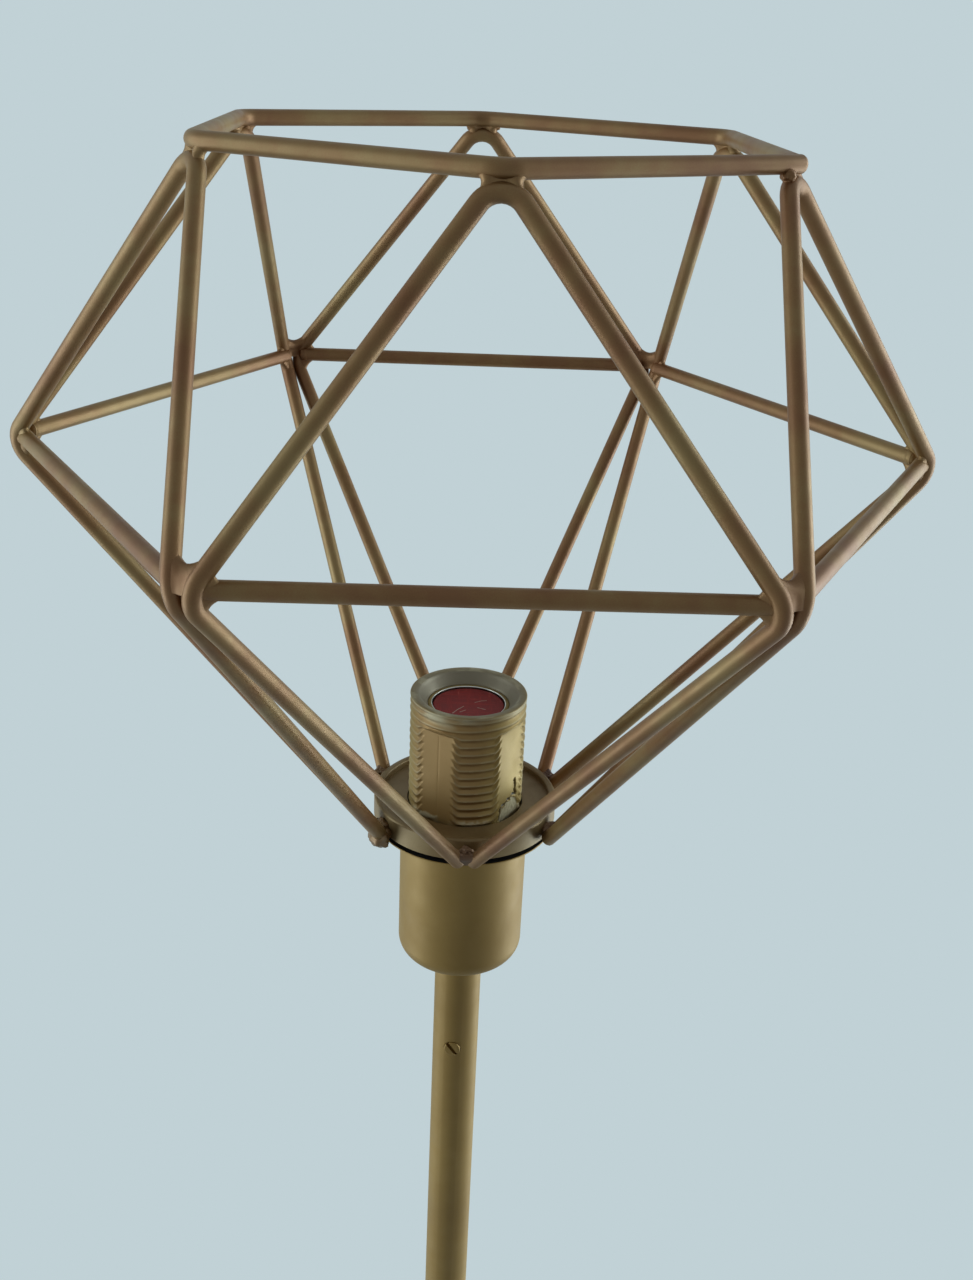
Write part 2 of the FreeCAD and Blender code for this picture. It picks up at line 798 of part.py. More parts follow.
def wire_path(points, radii):
    """Straight runs through the points, joined by tangent arcs."""
    edges = []
    here = points[0]
    for index, radius in enumerate(radii, start=1):
        start, middle, end = bend(points[index - 1], points[index], points[index + 1], radius)
        edges.append(Part.LineSegment(here, start).toShape())
        edges.append(Part.Arc(start, middle, end).toShape())
        here = end
    edges.append(Part.LineSegment(here, points[-1]).toShape())
    return Part.Wire(edges)


def bent_rod(points, radii):
    """A round rod of the cage's diameter bent along the points."""
    path = wire_path(points, radii)
    towards = (points[1] - points[0]).normalize()
    section = Part.Wire(Part.makeCircle(rod_radius, points[0], towards))
    return path.makePipe(Part.Face(section))


def kite_corners():
    """Foot, waist corner and apex of the right half of the first kite.

    The feet stand against the hoop, a weld's gap from it and from each other. The waist corner keeps the
    bend half a weld's gap from the plane between two kites, so that neighbours lie side by side there.
    """
    apex = Vector(0, -s.apex_radius.value, apex_level)
    foot_radius = s.hoop_diameter.value / 2 + rod_radius
    foot_side = rod_radius
    waist_side = rod_radius
    for _ in range(20):
        foot = Vector(foot_side, -foot_radius, foot_level)
        waist = MIRROR_RADIAL * s.waist_radius.value - MIRROR_SIDE * waist_side + UP * waist_level
        along = (waist - foot).normalize()
        foot_radius = s.hoop_diameter.value / 2 + gap + rod_radius * math.sqrt(1 - along.y ** 2)
        foot_side = gap / 2 + rod_radius * math.sqrt(1 - along.x ** 2)
        start, middle, end = bend(foot, waist, apex, s.waist_bend.value)
        arc = Part.Arc(start, middle, end).toShape()
        nearest = min(-point.dot(MIRROR_SIDE) for point in arc.discretize(41))
        waist_side += rod_radius + gap / 2 - nearest
    return foot, waist, apex


def flip(point):
    """The same point on the left half of the first kite."""
    return Vector(-point.x, point.y, point.z)


def make_kites(foot, waist, apex):
    """Six frames, each bent from one rod: foot, waist, apex, waist and foot."""
    points = [flip(foot), flip(waist), apex, waist, foot]
    radii = [s.waist_bend.value, s.apex_bend.value, s.waist_bend.value]
    kite = bent_rod(points, radii)
    for number in range(KITES):
        made_solid("cage_frame_%d" % (number + 1), kite, TURN * number)
    return kite


def make_waist_bars(foot, waist, apex, kite):
    """Six straight bars, each coped to the insides of its own kite's waist bends."""
    middle = bend(foot, waist, apex, s.waist_bend.value)[1]
    end = Vector(middle.x - rod_radius / 2, middle.y + s.bar_inset.value, middle.z + s.bar_lift.value)
    bar = Part.makeCylinder(rod_radius, 2 * end.x, flip(end), Vector(1, 0, 0)).cut(kite)
    bar = max(bar.Solids, key=lambda solid: solid.Volume)
    for number in range(KITES):
        made_solid("waist_bar_%d" % (number + 1), bar, TURN * number)
    return bar


def make_top_ring(waist, apex):
    """One rod bent to a hexagon that lies on the six apexes, its ends meeting at the second corner."""
    top = bend(flip(waist), apex, waist, s.apex_bend.value)[1]
    touch = s.rod.value + gap
    rise = math.sqrt(touch ** 2 - s.ring_inset.value ** 2)
    inner = -top.y - s.ring_inset.value
    corner_radius = inner + s.ring_bend.value * (1 / math.cos(MIRROR) - 1)
    level = top.z + rise

    def corner(number):
        angle = math.radians(TURN * number)
        return Vector(corner_radius * math.sin(angle), -corner_radius * math.cos(angle), level)

    joint = corner(1)
    halfway = (corner(0) + joint) * 0.5
    ahead = (joint - halfway).normalize()
    points = [joint] + [corner(number) for number in range(2, 7)] + [halfway]
    ring = bent_rod(points, [s.ring_bend.value] * 5)
    last = halfway.distanceToPoint(joint) + s.ring_overrun.value
    ring = ring.fuse(Part.makeCylinder(rod_radius, last, halfway, ahead)).removeSplitter()
    made_solid("top_ring", ring.Solids[0])
    return ring.Solids[0], top, Vector(0, -inner, level)


def six_times(shape):
    """The same weld at each of the six kites."""
    copies = []
    for number in range(KITES):
        copy = shape.copy()
        copy.rotate(Vector(0, 0, 0), UP, TURN * number)
        copies.append(copy)
    return copies


def largest(shape):
    """The largest solid of a shape."""
    return max(shape.Solids, key=lambda solid: solid.Volume)


def make_waist_welds(foot, waist, apex, kite, bar):
    """A hollow-topped web of weld metal between neighbouring kites above each waist bend."""
    middle = bend(foot, waist, apex, s.waist_bend.value)[1]
    leg = (apex - waist).normalize()
    rise = (leg - MIRROR_SIDE * leg.dot(MIRROR_SIDE)).normalize()
    through = MIRROR_SIDE.cross(rise).normalize()
    centre = middle - MIRROR_SIDE * middle.dot(MIRROR_SIDE)
    half_width = s.rod.value * 0.9
    thick = s.web_thickness.value
    corner = centre + rise * s.web_start.value - MIRROR_SIDE * half_width - through * (thick / 2)
    turn = FreeCAD.Rotation(MIRROR_SIDE, rise, through, "ZXY")
    web = Part.makeBox(2 * half_width, s.web_height.value - s.web_start.value + s.web_hollow.value, thick)
    web.Placement = FreeCAD.Placement(corner, turn)
    hollow_centre = centre + rise * (s.web_height.value + s.web_hollow.value) - through * thick
    hollow = Part.makeCylinder(s.web_hollow.value, 2 * thick, hollow_centre, through)
    for rod in (kite, bar):
        neighbour = rod.copy()
        neighbour.rotate(Vector(0, 0, 0), UP, TURN)
        web = web.cut(rod).cut(neighbour)
    web = largest(web.cut(hollow))
    made_solid("waist_welds", Part.makeCompound(six_times(web)))


def make_ring_welds(kite, ring, top, ring_middle):
    """A fillet in the wedge between the top ring and each of an apex's two shoulders."""
    contact = (top + ring_middle) * 0.5
    across = (ring_middle - top).normalize()
    out = Vector(1, 0, 0).cross(across).normalize()
    start = s.ring_fillet_start.value
    end = s.ring_fillet_end.value
    depth = s.ring_fillet_depth.value
    thick = s.ring_fillet_thickness.value
    scoop = s.ring_fillet_scoop.value
    corner = contact + Vector(start, 0, 0) - across * depth + out * (thick / 2)
    block = Part.makeBox(end - start, depth + rod_radius / 2, thick)
    block.Placement = FreeCAD.Placement(corner, FreeCAD.Rotation(Vector(1, 0, 0), across, -out, "XYZ"))
    scoop_start = contact + Vector(end + scoop / 2, 0, 0) - across * (depth / 3) - out * thick
    block = block.cut(Part.makeCylinder(scoop, 2 * thick, scoop_start, out)).cut(kite)
    other = block.mirror(Vector(0, 0, 0), Vector(1, 0, 0))
    blanks = six_times(block) + six_times(other)
    made_solid("ring_welds", Part.makeCompound([largest(blank.cut(ring)) for blank in blanks]))


def make_foot_welds(foot, kite):
    """A blob of weld metal between each pair of wire ends and the hoop."""
    hoop_radius = s.hoop_diameter.value / 2
    bead = s.foot_bead.value
    centre = Vector(0, -hoop_radius - gap, foot.z + rod_radius / 2)
    blob = Part.makeSphere(bead / 2, centre)
    inside = Part.makeCylinder(hoop_radius, 4 * bead, Vector(0, 0, centre.z - 2 * bead))
    blob = largest(blob.cut(inside).cut(kite))
    made_solid("foot_welds", Part.makeCompound(six_times(blob)))


def make_cage():
    """Everything that is welded to the gallery."""
    foot, waist, apex = kite_corners()
    kite = make_kites(foot, waist, apex)
    bar = make_waist_bars(foot, waist, apex, kite)
    ring, top, ring_middle = make_top_ring(waist, apex)
    make_waist_welds(foot, waist, apex, kite, bar)
    make_ring_welds(kite, ring, top, ring_middle)
    make_foot_welds(foot, kite)


def check_and_write():
    """Recomputes the document, checks each piece and writes its file."""
    doc.recompute()
    faults = [thing.Name for thing in doc.Objects if "Invalid" in thing.State or "Error" in thing.State]
    for piece in nodes:
        if piece.Shape.isNull() or not piece.Shape.isValid() or not piece.Shape.Solids:
            faults.append(piece.Label)
    if faults:
        raise SystemExit("not built: " + ", ".join(faults))
    os.makedirs("parts", exist_ok=True)
    for piece in nodes:
        piece.Shape.exportStep(os.path.join("parts", piece.Label + ".step"))
        print("%-20s solids %2d  volume %10.1f" % (piece.Label, len(piece.Shape.Solids), piece.Shape.Volume))
    box = FreeCAD.BoundBox()
    for piece in nodes:
        box.add(piece.Shape.BoundBox)
    print("pieces", len(nodes), "box", box)


make_base()
make_cord_grommet()
make_pole()
make_pole_top()
make_cup()
make_holder_insides()
make_skirt_and_shade_ring()
make_socket_plug()
make_gallery()
make_cage()
check_and_write()
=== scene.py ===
"""Looks of the wire cage floor lamp.

It makes the bent wires with their weld metal, the lampholder with its worn thread, the plug, the shade
ring and the set screw, and gives every piece its finish, some with painted light or shade in them.
Lengths are in metres. The front faces -Y.
"""
import json
import math

import bpy
from mathutils import Matrix, Vector, noise


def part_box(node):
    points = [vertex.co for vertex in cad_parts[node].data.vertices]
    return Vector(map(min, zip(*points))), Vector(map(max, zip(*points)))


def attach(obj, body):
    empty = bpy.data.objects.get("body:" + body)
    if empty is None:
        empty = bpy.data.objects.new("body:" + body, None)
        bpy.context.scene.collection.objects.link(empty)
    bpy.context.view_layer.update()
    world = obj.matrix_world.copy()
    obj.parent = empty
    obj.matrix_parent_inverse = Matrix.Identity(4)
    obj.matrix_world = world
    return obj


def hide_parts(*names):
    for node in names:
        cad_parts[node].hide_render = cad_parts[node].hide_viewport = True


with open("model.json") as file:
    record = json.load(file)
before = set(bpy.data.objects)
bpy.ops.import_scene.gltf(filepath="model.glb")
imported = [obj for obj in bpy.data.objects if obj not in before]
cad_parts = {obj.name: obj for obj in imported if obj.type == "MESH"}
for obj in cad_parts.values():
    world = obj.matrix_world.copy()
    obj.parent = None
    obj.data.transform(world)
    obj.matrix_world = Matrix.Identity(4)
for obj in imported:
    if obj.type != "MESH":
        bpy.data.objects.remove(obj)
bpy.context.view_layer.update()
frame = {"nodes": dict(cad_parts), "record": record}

MM = 0.001
UP = Vector((0, 0, 1))


# Places taken from the frame

HOOP_LOW, HOOP_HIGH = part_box("gallery_hoop")
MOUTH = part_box("holder_skirt")[1].z
CUP_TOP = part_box("holder_cup")[1].z
HUB_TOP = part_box("shade_ring")[1].z
HOOP_BOTTOM = HOOP_LOW.z
DISC_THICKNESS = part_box("gallery_disc")[1].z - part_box("gallery_disc")[0].z


# Sizes of the cage, as in the model: six equal kites, a ring on their apexes and a hoop at their feet

KITES = 6
TURN = math.tau / KITES
ROD = 2.5 * MM
GAP = 0.1 * MM
HOOP_RADIUS = HOOP_HIGH.x
WAIST_RADIUS = 143 * MM
WAIST_LEVEL = HOOP_BOTTOM + 129.8 * MM
WAIST_BEND = 8 * MM
APEX_RADIUS = 87 * MM
APEX_LEVEL = HOOP_BOTTOM + 221.4 * MM
APEX_BEND = 6.5 * MM
FOOT_LEVEL = HOOP_BOTTOM + 0.8 * MM
RING_INSET = 1 * MM
RING_BEND = 8 * MM
RING_START = 0.6 * MM
RING_OVERRUN = 2.6 * MM
MIRROR_RADIAL = Vector((math.sin(TURN / 2), -math.cos(TURN / 2), 0))
MIRROR_SIDE = Vector((math.cos(TURN / 2), math.sin(TURN / 2), 0))


# Sizes of the lampholder's skirt, whose thread is cut by four flat bands. Angles start at the front.

SKIRT_RADIUS = 19.75 * MM
SKIRT_BORE = 15.3 * MM
MOUTH_RADIUS = 16.6 * MM
THROAT_RADIUS = 13.85 * MM
THROAT_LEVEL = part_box("screw_shell")[1].z
THREAD_PITCH = 2.92 * MM
THREAD_DEPTH = 0.85 * MM
THREAD_PHASE = 0.25
THREAD_SWEEP = 0.8
CREST_POWER = 1.35
BAND_TOP = MOUTH - 7.8 * MM
BAND_CENTRES = [math.radians(angle) for angle in (-34, 52.5, 146, 232.5)]
BAND_HALF = math.radians(16.2)


# Wear of the skirt: where it is rubbed pale, where a painted reflection makes it browner, and how deep its
# marks are

RUBBED_AT = math.radians(-28)
# Painted reflection: round this angle the skirt is painted browner, standing in for a warm room reflected
# at the front.
WARM_REFLECTION_AT = math.radians(-25)
RAGGED = 0.22 * MM
PARTING_WIDTH = 0.13 * MM
PARTING_DEPTH = 0.1 * MM
CRACK_EDGES = (0.34 * MM, 0.58 * MM)
CRACK_DEPTH = 0.9 * MM
CHIP_DEPTH = 0.35 * MM
FLAKED_SWELL = 0.12 * MM


# Mesh helpers

def shaded(name, verts, faces, sharp=35.0):
    """A smooth-shaded mesh object whose edges stay sharp above an angle in degrees."""
    mesh = bpy.data.meshes.new(name)
    mesh.from_pydata([tuple(v) for v in verts], [], faces)
    mesh.update()
    mesh.polygons.foreach_set("use_smooth", [True] * len(mesh.polygons))
    mesh.set_sharp_from_angle(angle=math.radians(sharp))
    piece = bpy.data.objects.new(name, mesh)
    bpy.context.scene.collection.objects.link(piece)
    return piece


def grid_faces(rows, columns, closed_rows=False):
    """Faces of a grid of vertices whose columns close on themselves."""
    faces = []
    for row in range(rows if closed_rows else rows - 1):
        here = row * columns
        above = (row + 1) % rows * columns
        for column in range(columns):
            beside = (column + 1) % columns
            faces.append((here + column, here + beside, above + beside, above + column))
    return faces


def rounded_corners(corners, radii):
    """A closed outline in (radius, height) with each corner rounded by its own radius."""
    steps = 5
    outline = []
    count = len(corners)
    for index, radius in enumerate(radii):
        here = Vector(corners[index])
        back = Vector(corners[index - 1]) - here
        ahead = Vector(corners[(index + 1) % count]) - here
        half = back.angle(ahead) / 2
        reach = radius / math.tan(half)
        start = here + back.normalized() * reach
        end = here + ahead.normalized() * reach
        centre = here + (back.normalized() + ahead.normalized()).normalized() * radius / math.sin(half)
        for step in range(steps + 1):
            mixed = start.lerp(end, step / steps) - centre
            outline.append(centre + mixed.normalized() * radius)
    return outline


def turned(name, outline):
    """A closed solid of revolution about the pole's axis."""
    segments = 144
    verts = []
    for radius, height in outline:
        for segment in range(segments):
            angle = math.tau * segment / segments
            verts.append((radius * math.cos(angle), radius * math.sin(angle), height))
    return shaded(name, verts, grid_faces(len(outline), segments, closed_rows=True))


def bend(before, corner, after, radius):
    """Start, centre and end of the arc that rounds a corner of a wire."""
    back = (before - corner).normalized()
    ahead = (after - corner).normalized()
    half = back.angle(ahead) / 2
    reach = radius / math.tan(half)
    centre = corner + (back + ahead).normalized() * (radius / math.sin(half))
    return corner + back * reach, centre, corner + ahead * reach


def wire_path(corners, radius_at, steps=10, stride=9 * MM):
    """Points along straight runs and the arcs that round the corners named in radius_at."""
    path = [corners[0]]

    def run_to(point):
        length = (point - path[-1]).length
        pieces = max(1, round(length / stride))
        start = path[-1]
        path.extend(start.lerp(point, piece / pieces) for piece in range(1, pieces + 1))

    for index, radius in radius_at:
        start, centre, end = bend(corners[index - 1], corners[index], corners[index + 1], radius)
        run_to(start)
        for step in range(1, steps + 1):
            mixed = start.lerp(end, step / steps) - centre
            path.append(centre + mixed.normalized() * radius)
    run_to(corners[-1])
    return path


def rod_along(name, path, end_round=0.7 * MM):
    """A round wire along a path, with rounded ends and a very slightly uneven surface."""
    sides = 24
    waver = 0.012 * MM
    waves_per_metre = 260
    count = len(path)
    tangents = []
    for index in range(count):
        before = path[max(index - 1, 0)]
        after = path[min(index + 1, count - 1)]
        tangents.append((after - before).normalized())
    lean = [math.pi / 2 * step / 5 for step in range(5)]
    first = [(path[0] + tangents[0] * end_round * (1 - math.cos(turn)), tangents[0],
              ROD - end_round * (1 - math.sin(turn))) for turn in lean]
    last = [(path[-1] - tangents[-1] * end_round * (1 - math.cos(turn)), tangents[-1],
             ROD - end_round * (1 - math.sin(turn))) for turn in reversed(lean)]
    rings = first + [(path[0] + tangents[0] * end_round, tangents[0], ROD)]
    rings += [(path[index], tangents[index], ROD) for index in range(1, count - 1)]
    rings += [(path[-1] - tangents[-1] * end_round, tangents[-1], ROD)] + last
    verts = []
    normal = tangents[0].orthogonal().normalized()
    previous = tangents[0]
    for centre, tangent, size in rings:
        normal = previous.rotation_difference(tangent) @ normal
        normal = (normal - tangent * normal.dot(tangent)).normalized()
        previous = tangent
        binormal = tangent.cross(normal)
        for side in range(sides):
            angle = math.tau * side / sides
            out = normal * math.cos(angle) + binormal * math.sin(angle)
            uneven = noise.noise((centre + out * ROD) * waves_per_metre) * waver
            verts.append(centre + out * (size + uneven))
    faces = grid_faces(len(rings), sides)
    faces.append(tuple(reversed(range(sides))))
    faces.append(tuple(range((len(rings) - 1) * sides, len(rings) * sides)))
    return shaded(name, verts, faces, sharp=60)


def around(shape, number):
    """The points of a shape turned to one of the six kites."""
    turn = Matrix.Rotation(TURN * number, 4, "Z")
    return [turn @ point for point in shape]


# The kite's corners, solved as in the model

def kite_corners():
    """Foot, waist corner and apex of the right half of the first kite."""
    apex = Vector((0, -APEX_RADIUS, APEX_LEVEL))
    foot_radius = HOOP_RADIUS + ROD
    foot_side = ROD
    waist_side = ROD
    rounds = 20
    for _ in range(rounds):
        foot = Vector((foot_side, -foot_radius, FOOT_LEVEL))
        waist = MIRROR_RADIAL * WAIST_RADIUS - MIRROR_SIDE * waist_side + UP * WAIST_LEVEL
        along = (waist - foot).normalized()
        foot_radius = HOOP_RADIUS + GAP + ROD * math.sqrt(1 - along.y ** 2)
        foot_side = GAP / 2 + ROD * math.sqrt(1 - along.x ** 2)
        arc = wire_path([foot, waist, apex], [(1, WAIST_BEND)])
        nearest = min(-point.dot(MIRROR_SIDE) for point in arc)
        waist_side += ROD + GAP / 2 - nearest
    return foot, waist, apex


def flip(point):
    """The same point on the left half of the first kite."""
    return Vector((-point.x, point.y, point.z))


FOOT, WAIST, APEX = kite_corners()


def arc_middle(before, corner, after, radius):
    """The middle of the arc that rounds a corner of a wire."""
    centre = bend(before, corner, after, radius)[1]
    return centre + (corner - centre).normalized() * radius


WAIST_MIDDLE = arc_middle(FOOT, WAIST, APEX, WAIST_BEND)
APEX_TOP = arc_middle(flip(WAIST), APEX, WAIST, APEX_BEND)


# Procedural finishes

class Finish:
    """A node material with a Principled shader and short ways to feed it."""

    def __init__(self, name, roughness=0.5, metallic=0.0, **sockets):
        self.material = bpy.data.materials.new(name)
        self.material.use_nodes = True
        self.tree = self.material.node_tree
        self.shader = self.tree.nodes["Principled BSDF"]
        self.set(self.shader, Roughness=roughness, Metallic=metallic, **sockets)
        self.place = self.tree.nodes.new("ShaderNodeTexCoord").outputs["Object"]

    def feed(self, socket, value):
        """Links an output to a socket, or sets a constant on it."""
        if isinstance(value, bpy.types.NodeSocket):
            self.tree.links.new(value, socket)
        else:
            socket.default_value = value

    def set(self, node, **sockets):
        """Feeds sockets by name, with underscores for spaces."""
        for name, value in sockets.items():
            self.feed(node.inputs[name.replace("_", " ")], value)
        return node

    def node(self, kind, settings=None, **sockets):
        """A new node with its settings and sockets."""
        made = self.tree.nodes.new(kind)
        for name, value in (settings or {}).items():
            setattr(made, name, value)
        return self.set(made, **sockets)

    def noise(self, scale, detail=3.0, roughness=0.5, stretch=None):
        """Noise in the piece's own space, about scale cells to the metre."""
        place = self.place
        if stretch:
            place = self.node("ShaderNodeMapping", Vector=place, Scale=stretch).outputs[0]
        return self.node("ShaderNodeTexNoise", Vector=place, Scale=scale, Detail=detail,
                         Roughness=roughness).outputs[0]

    def ramp(self, factor, stops):
        """A colour that runs through (position, colour) stops."""
        made = self.node("ShaderNodeValToRGB", Fac=factor)
        band = made.color_ramp
        while len(band.elements) < len(stops):
            band.elements.new(0.5)
        for element, (position, colour) in zip(band.elements, stops):
            element.position = position
            element.color = (*colour, 1)
        return made.outputs[0]

    def span(self, factor, low, high, start=0.0, end=1.0):
        """A value that runs from start to end while the factor runs from low to high."""
        return self.node("ShaderNodeMapRange", Value=factor, From_Min=low, From_Max=high, To_Min=start,
                         To_Max=end).outputs[0]

    def mix(self, factor, under, colour):
        """A plain colour laid over what is under it."""
        made = self.node("ShaderNodeMix", {"data_type": "RGBA"})
        self.feed(made.inputs[0], factor)
        self.feed(made.inputs[6], under)
        self.feed(made.inputs[7], (*colour, 1))
        return made.outputs[2]

    def maths(self, operation, first, second):
        """The result of one operation on two values."""
        made = self.node("ShaderNodeMath", {"operation": operation})
        self.feed(made.inputs[0], first)
        self.feed(made.inputs[1], second)
        return made.outputs[0]

    def attribute(self, name):
        """A value kept on the vertices of the piece."""
        return self.node("ShaderNodeAttribute", {"attribute_name": name}).outputs["Fac"]

    def bump(self, height, distance, strength, under=None):
        """Raises the surface by a height, on top of another bump if one is given."""
        made = self.node("ShaderNodeBump", Height=height, Distance=distance, Strength=strength)
        if under is not None:
            self.tree.links.new(under, made.inputs["Normal"])
        self.tree.links.new(made.outputs[0], self.shader.inputs["Normal"])
        return made.outputs[0]


# Linear colours

GOLD_TONES = [(0.275, 0.160, 0.038), (0.298, 0.177, 0.044), (0.322, 0.195, 0.052)]
BRONZE_TONES = [(0.222, 0.096, 0.036), (0.262, 0.137, 0.050), (0.296, 0.186, 0.072)]
BASE_TONES = [(0.240, 0.130, 0.046), (0.256, 0.142, 0.051), (0.272, 0.154, 0.056)]
# Painted shade: the gallery's tones are the wires' bronze made darker for the hoop and disc under the
# lampholder.
GALLERY_SHADED_TONES = [(0.170, 0.098, 0.036), (0.215, 0.132, 0.052), (0.270, 0.182, 0.080)]
WELD_TONES = [(0.085, 0.034, 0.018), (0.150, 0.070, 0.031), (0.255, 0.150, 0.067)]
SKIRT_TONES = [(0.250, 0.154, 0.038), (0.310, 0.200, 0.053), (0.370, 0.252, 0.080)]
SKIRT_WARM_REFLECTION = (0.300, 0.166, 0.060)
SKIRT_INSIDE = (0.230, 0.190, 0.130)
SKIRT_WEAR_AND_HIGHLIGHT = (0.600, 0.520, 0.340)
SKIRT_CRACK = (0.010, 0.008, 0.006)
RED_TONES = [(0.300, 0.022, 0.020), (0.420, 0.045, 0.040), (0.600, 0.160, 0.140)]
RED_SCRATCH = (0.85, 0.70, 0.60)
FELT_DARK = (0.012, 0.012, 0.012)
FELT_LIGHT = (0.045, 0.045, 0.045)
PAINT_METALLIC = 0.35
WARM_METALLIC = 0.42
WARM_REFLECTION_STRENGTH = 0.75


def satin_paint(name, tones, metallic=PAINT_METALLIC, roughness=(0.44, 0.54), grain=0.012 * MM):
    """Sprayed satin metallic paint: drifting tone, fine flake and a little orange peel."""
    finish = Finish(name, metallic=metallic)
    drift = finish.maths("MULTIPLY", finish.noise(28, 4, 0.6), 0.86)
    flake = finish.maths("MULTIPLY", finish.noise(2600, 2, 0.6), 0.14)
    colour = finish.ramp(finish.maths("ADD", drift, flake), list(zip((0.38, 0.5, 0.62), tones)))
    rough = finish.span(finish.noise(140, 3), 0.3, 0.7, *roughness)
    finish.set(finish.shader, Base_Color=colour, Roughness=rough)
    peel = finish.bump(finish.noise(900, 2), grain, 0.35)
    finish.bump(finish.noise(190, 2), grain * 3, 0.2, under=peel)
    return finish


def skirt_paint():
    """Thin gold paint on dark plastic, greyer inside, worn pale at the foot, with a black crack, a browner
    painted reflection at the front-left and painted highlights on the thread crests.
    """
    finish = satin_paint("painted_skirt", SKIRT_TONES, metallic=WARM_METALLIC, roughness=(0.46, 0.56))
    gold_colour = finish.shader.inputs["Base Color"].links[0].from_socket
    # Painted reflection: brown laid over the front-left of the skirt.
    warm_reflection = finish.maths("MULTIPLY", finish.attribute("warm_reflection"), WARM_REFLECTION_STRENGTH)
    with_warm_reflection = finish.mix(warm_reflection, gold_colour, SKIRT_WARM_REFLECTION)
    # Pale wear, with painted highlights on the thread crests mixed into the same mask.
    inside = finish.mix(finish.attribute("inside"), with_warm_reflection, SKIRT_INSIDE)
    wear_and_highlight = finish.mix(finish.attribute("wear_and_highlight"), inside, SKIRT_WEAR_AND_HIGHLIGHT)
    cracked = finish.mix(finish.attribute("crack"), wear_and_highlight, SKIRT_CRACK)
    dull = finish.maths("MAXIMUM", finish.attribute("crack"), finish.attribute("wear_and_highlight"))
    metal = finish.span(dull, 0, 1, WARM_METALLIC, 0.0)
    finish.set(finish.shader, Base_Color=cracked, Metallic=metal)
    return finish


def plain(name, colour, roughness, metallic=0.0, scale=300, tone=0.25, bump_size=0.03 * MM):
    """A finish with a tone that drifts, an uneven gloss and a fine bump."""
    finish = Finish(name, metallic=metallic)
    dark = tuple(channel * (1 - tone) for channel in colour)
    light = tuple(min(1, channel * (1 + tone)) for channel in colour)
    gloss = finish.noise(scale / 3, 2)
    finish.set(finish.shader,
               Base_Color=finish.ramp(finish.noise(scale, 4), [(0.3, dark), (0.7, light)]),
               Roughness=finish.span(gloss, 0.3, 0.7, roughness * 0.85, roughness * 1.15))
    finish.bump(finish.noise(scale * 3, 3), bump_size, 0.5)
    return finish


def red_plastic():
    """Dark red moulded plastic with fine rubbing marks."""
    finish = Finish("red_plug", roughness=0.5, Specular_IOR_Level=0.2)
    rubs = finish.noise(700, 5, 0.7, stretch=(1.0, 0.12, 1.0))
    crossing = finish.noise(600, 5, 0.7, stretch=(0.15, 1.0, 1.0))
    both = finish.maths("MAXIMUM", rubs, crossing)
    colour = finish.ramp(both, list(zip((0.45, 0.62, 0.76), RED_TONES)))
    scratched = finish.mix(finish.attribute("scratch"), colour, RED_SCRATCH)
    finish.set(finish.shader, Base_Color=scratched,
               Roughness=finish.span(both, 0.4, 0.75, 0.42, 0.65))
    finish.bump(both, 0.05 * MM, 0.5)
    return finish


def felt():
    """Pressed black felt."""
    finish = Finish("felt", roughness=0.95, Sheen_Weight=0.3)
    fibres = finish.noise(1500, 6, 0.8)
    finish.set(finish.shader, Base_Color=finish.ramp(fibres, [(0.35, FELT_DARK), (0.65, FELT_LIGHT)]))
    finish.bump(finish.noise(2500, 6, 0.8), 0.3 * MM, 0.8)
    return finish


gold = satin_paint("satin_gold", GOLD_TONES, roughness=(0.50, 0.60))
bronze = satin_paint("satin_bronze", BRONZE_TONES, metallic=WARM_METALLIC, grain=0.004 * MM)
base_finish = satin_paint("base_paint", BASE_TONES, metallic=WARM_METALLIC, roughness=(0.42, 0.50))
gallery_shaded_finish = satin_paint("gallery_paint_shaded", GALLERY_SHADED_TONES)
weld_finish = satin_paint("painted_weld", WELD_TONES, roughness=(0.34, 0.46), grain=0.05 * MM)
skirt_finish = skirt_paint()
# Near-black used as painted shade in the gap between the hoop and the shade ring's flange.
gap_shade_black = plain("gap_shade_black", (0.016, 0.016, 0.017), 0.45)
shell_finish = plain("rolled_sheet", (0.62, 0.60, 0.54), 0.35, metallic=1.0)
red_finish = red_plastic()
FINISHES = {
    "gold_paint": gold,
    "bronze_paint": bronze,
    "painted_plastic": skirt_finish,
    "block_plastic": plain("moulded_block", (0.55, 0.53, 0.47), 0.55),
    "red_plastic": red_finish,
    "shell_metal": shell_finish,
    "brass": plain("brass_strip", (0.62, 0.46, 0.17), 0.32, metallic=1.0, tone=0.12),
    "zinc_steel": plain("zinc_plate", (0.52, 0.51, 0.47), 0.36, metallic=1.0, tone=0.18),
    "cast_iron": plain("cast_iron", (0.045, 0.043, 0.042), 0.75, scale=160, bump_size=0.4 * MM),
    "black_rubber": plain("rubber", (0.012, 0.012, 0.012), 0.6, tone=0.4),
    "felt": felt(),
}
# The hoop and disc take the darker gallery finish, which is painted shade.
NODE_FINISHES = {"base_cover": base_finish, "gallery_hoop": gallery_shaded_finish, "gallery_disc": gallery_shaded_finish}


def dress(piece, body, slot, finish, *nodes):
    """Gives a new piece its finish, the body it rides on and the nodes it stands for."""
    piece.data.materials.append(finish.material)
    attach(piece, body)
    if nodes:
        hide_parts(*nodes)


# Wires of the cage

def make_kites():
    """Six kite-shaped frames, each one bent wire."""
    corners = [flip(FOOT), flip(WAIST), APEX, WAIST, FOOT]
    path = wire_path(corners, [(1, WAIST_BEND), (2, APEX_BEND), (3, WAIST_BEND)])
    for number in range(KITES):
        piece = rod_along("frame_wire_%d" % (number + 1), around(path, number))
        dress(piece, "cage", "bronze_paint", bronze, "cage_frame_%d" % (number + 1))


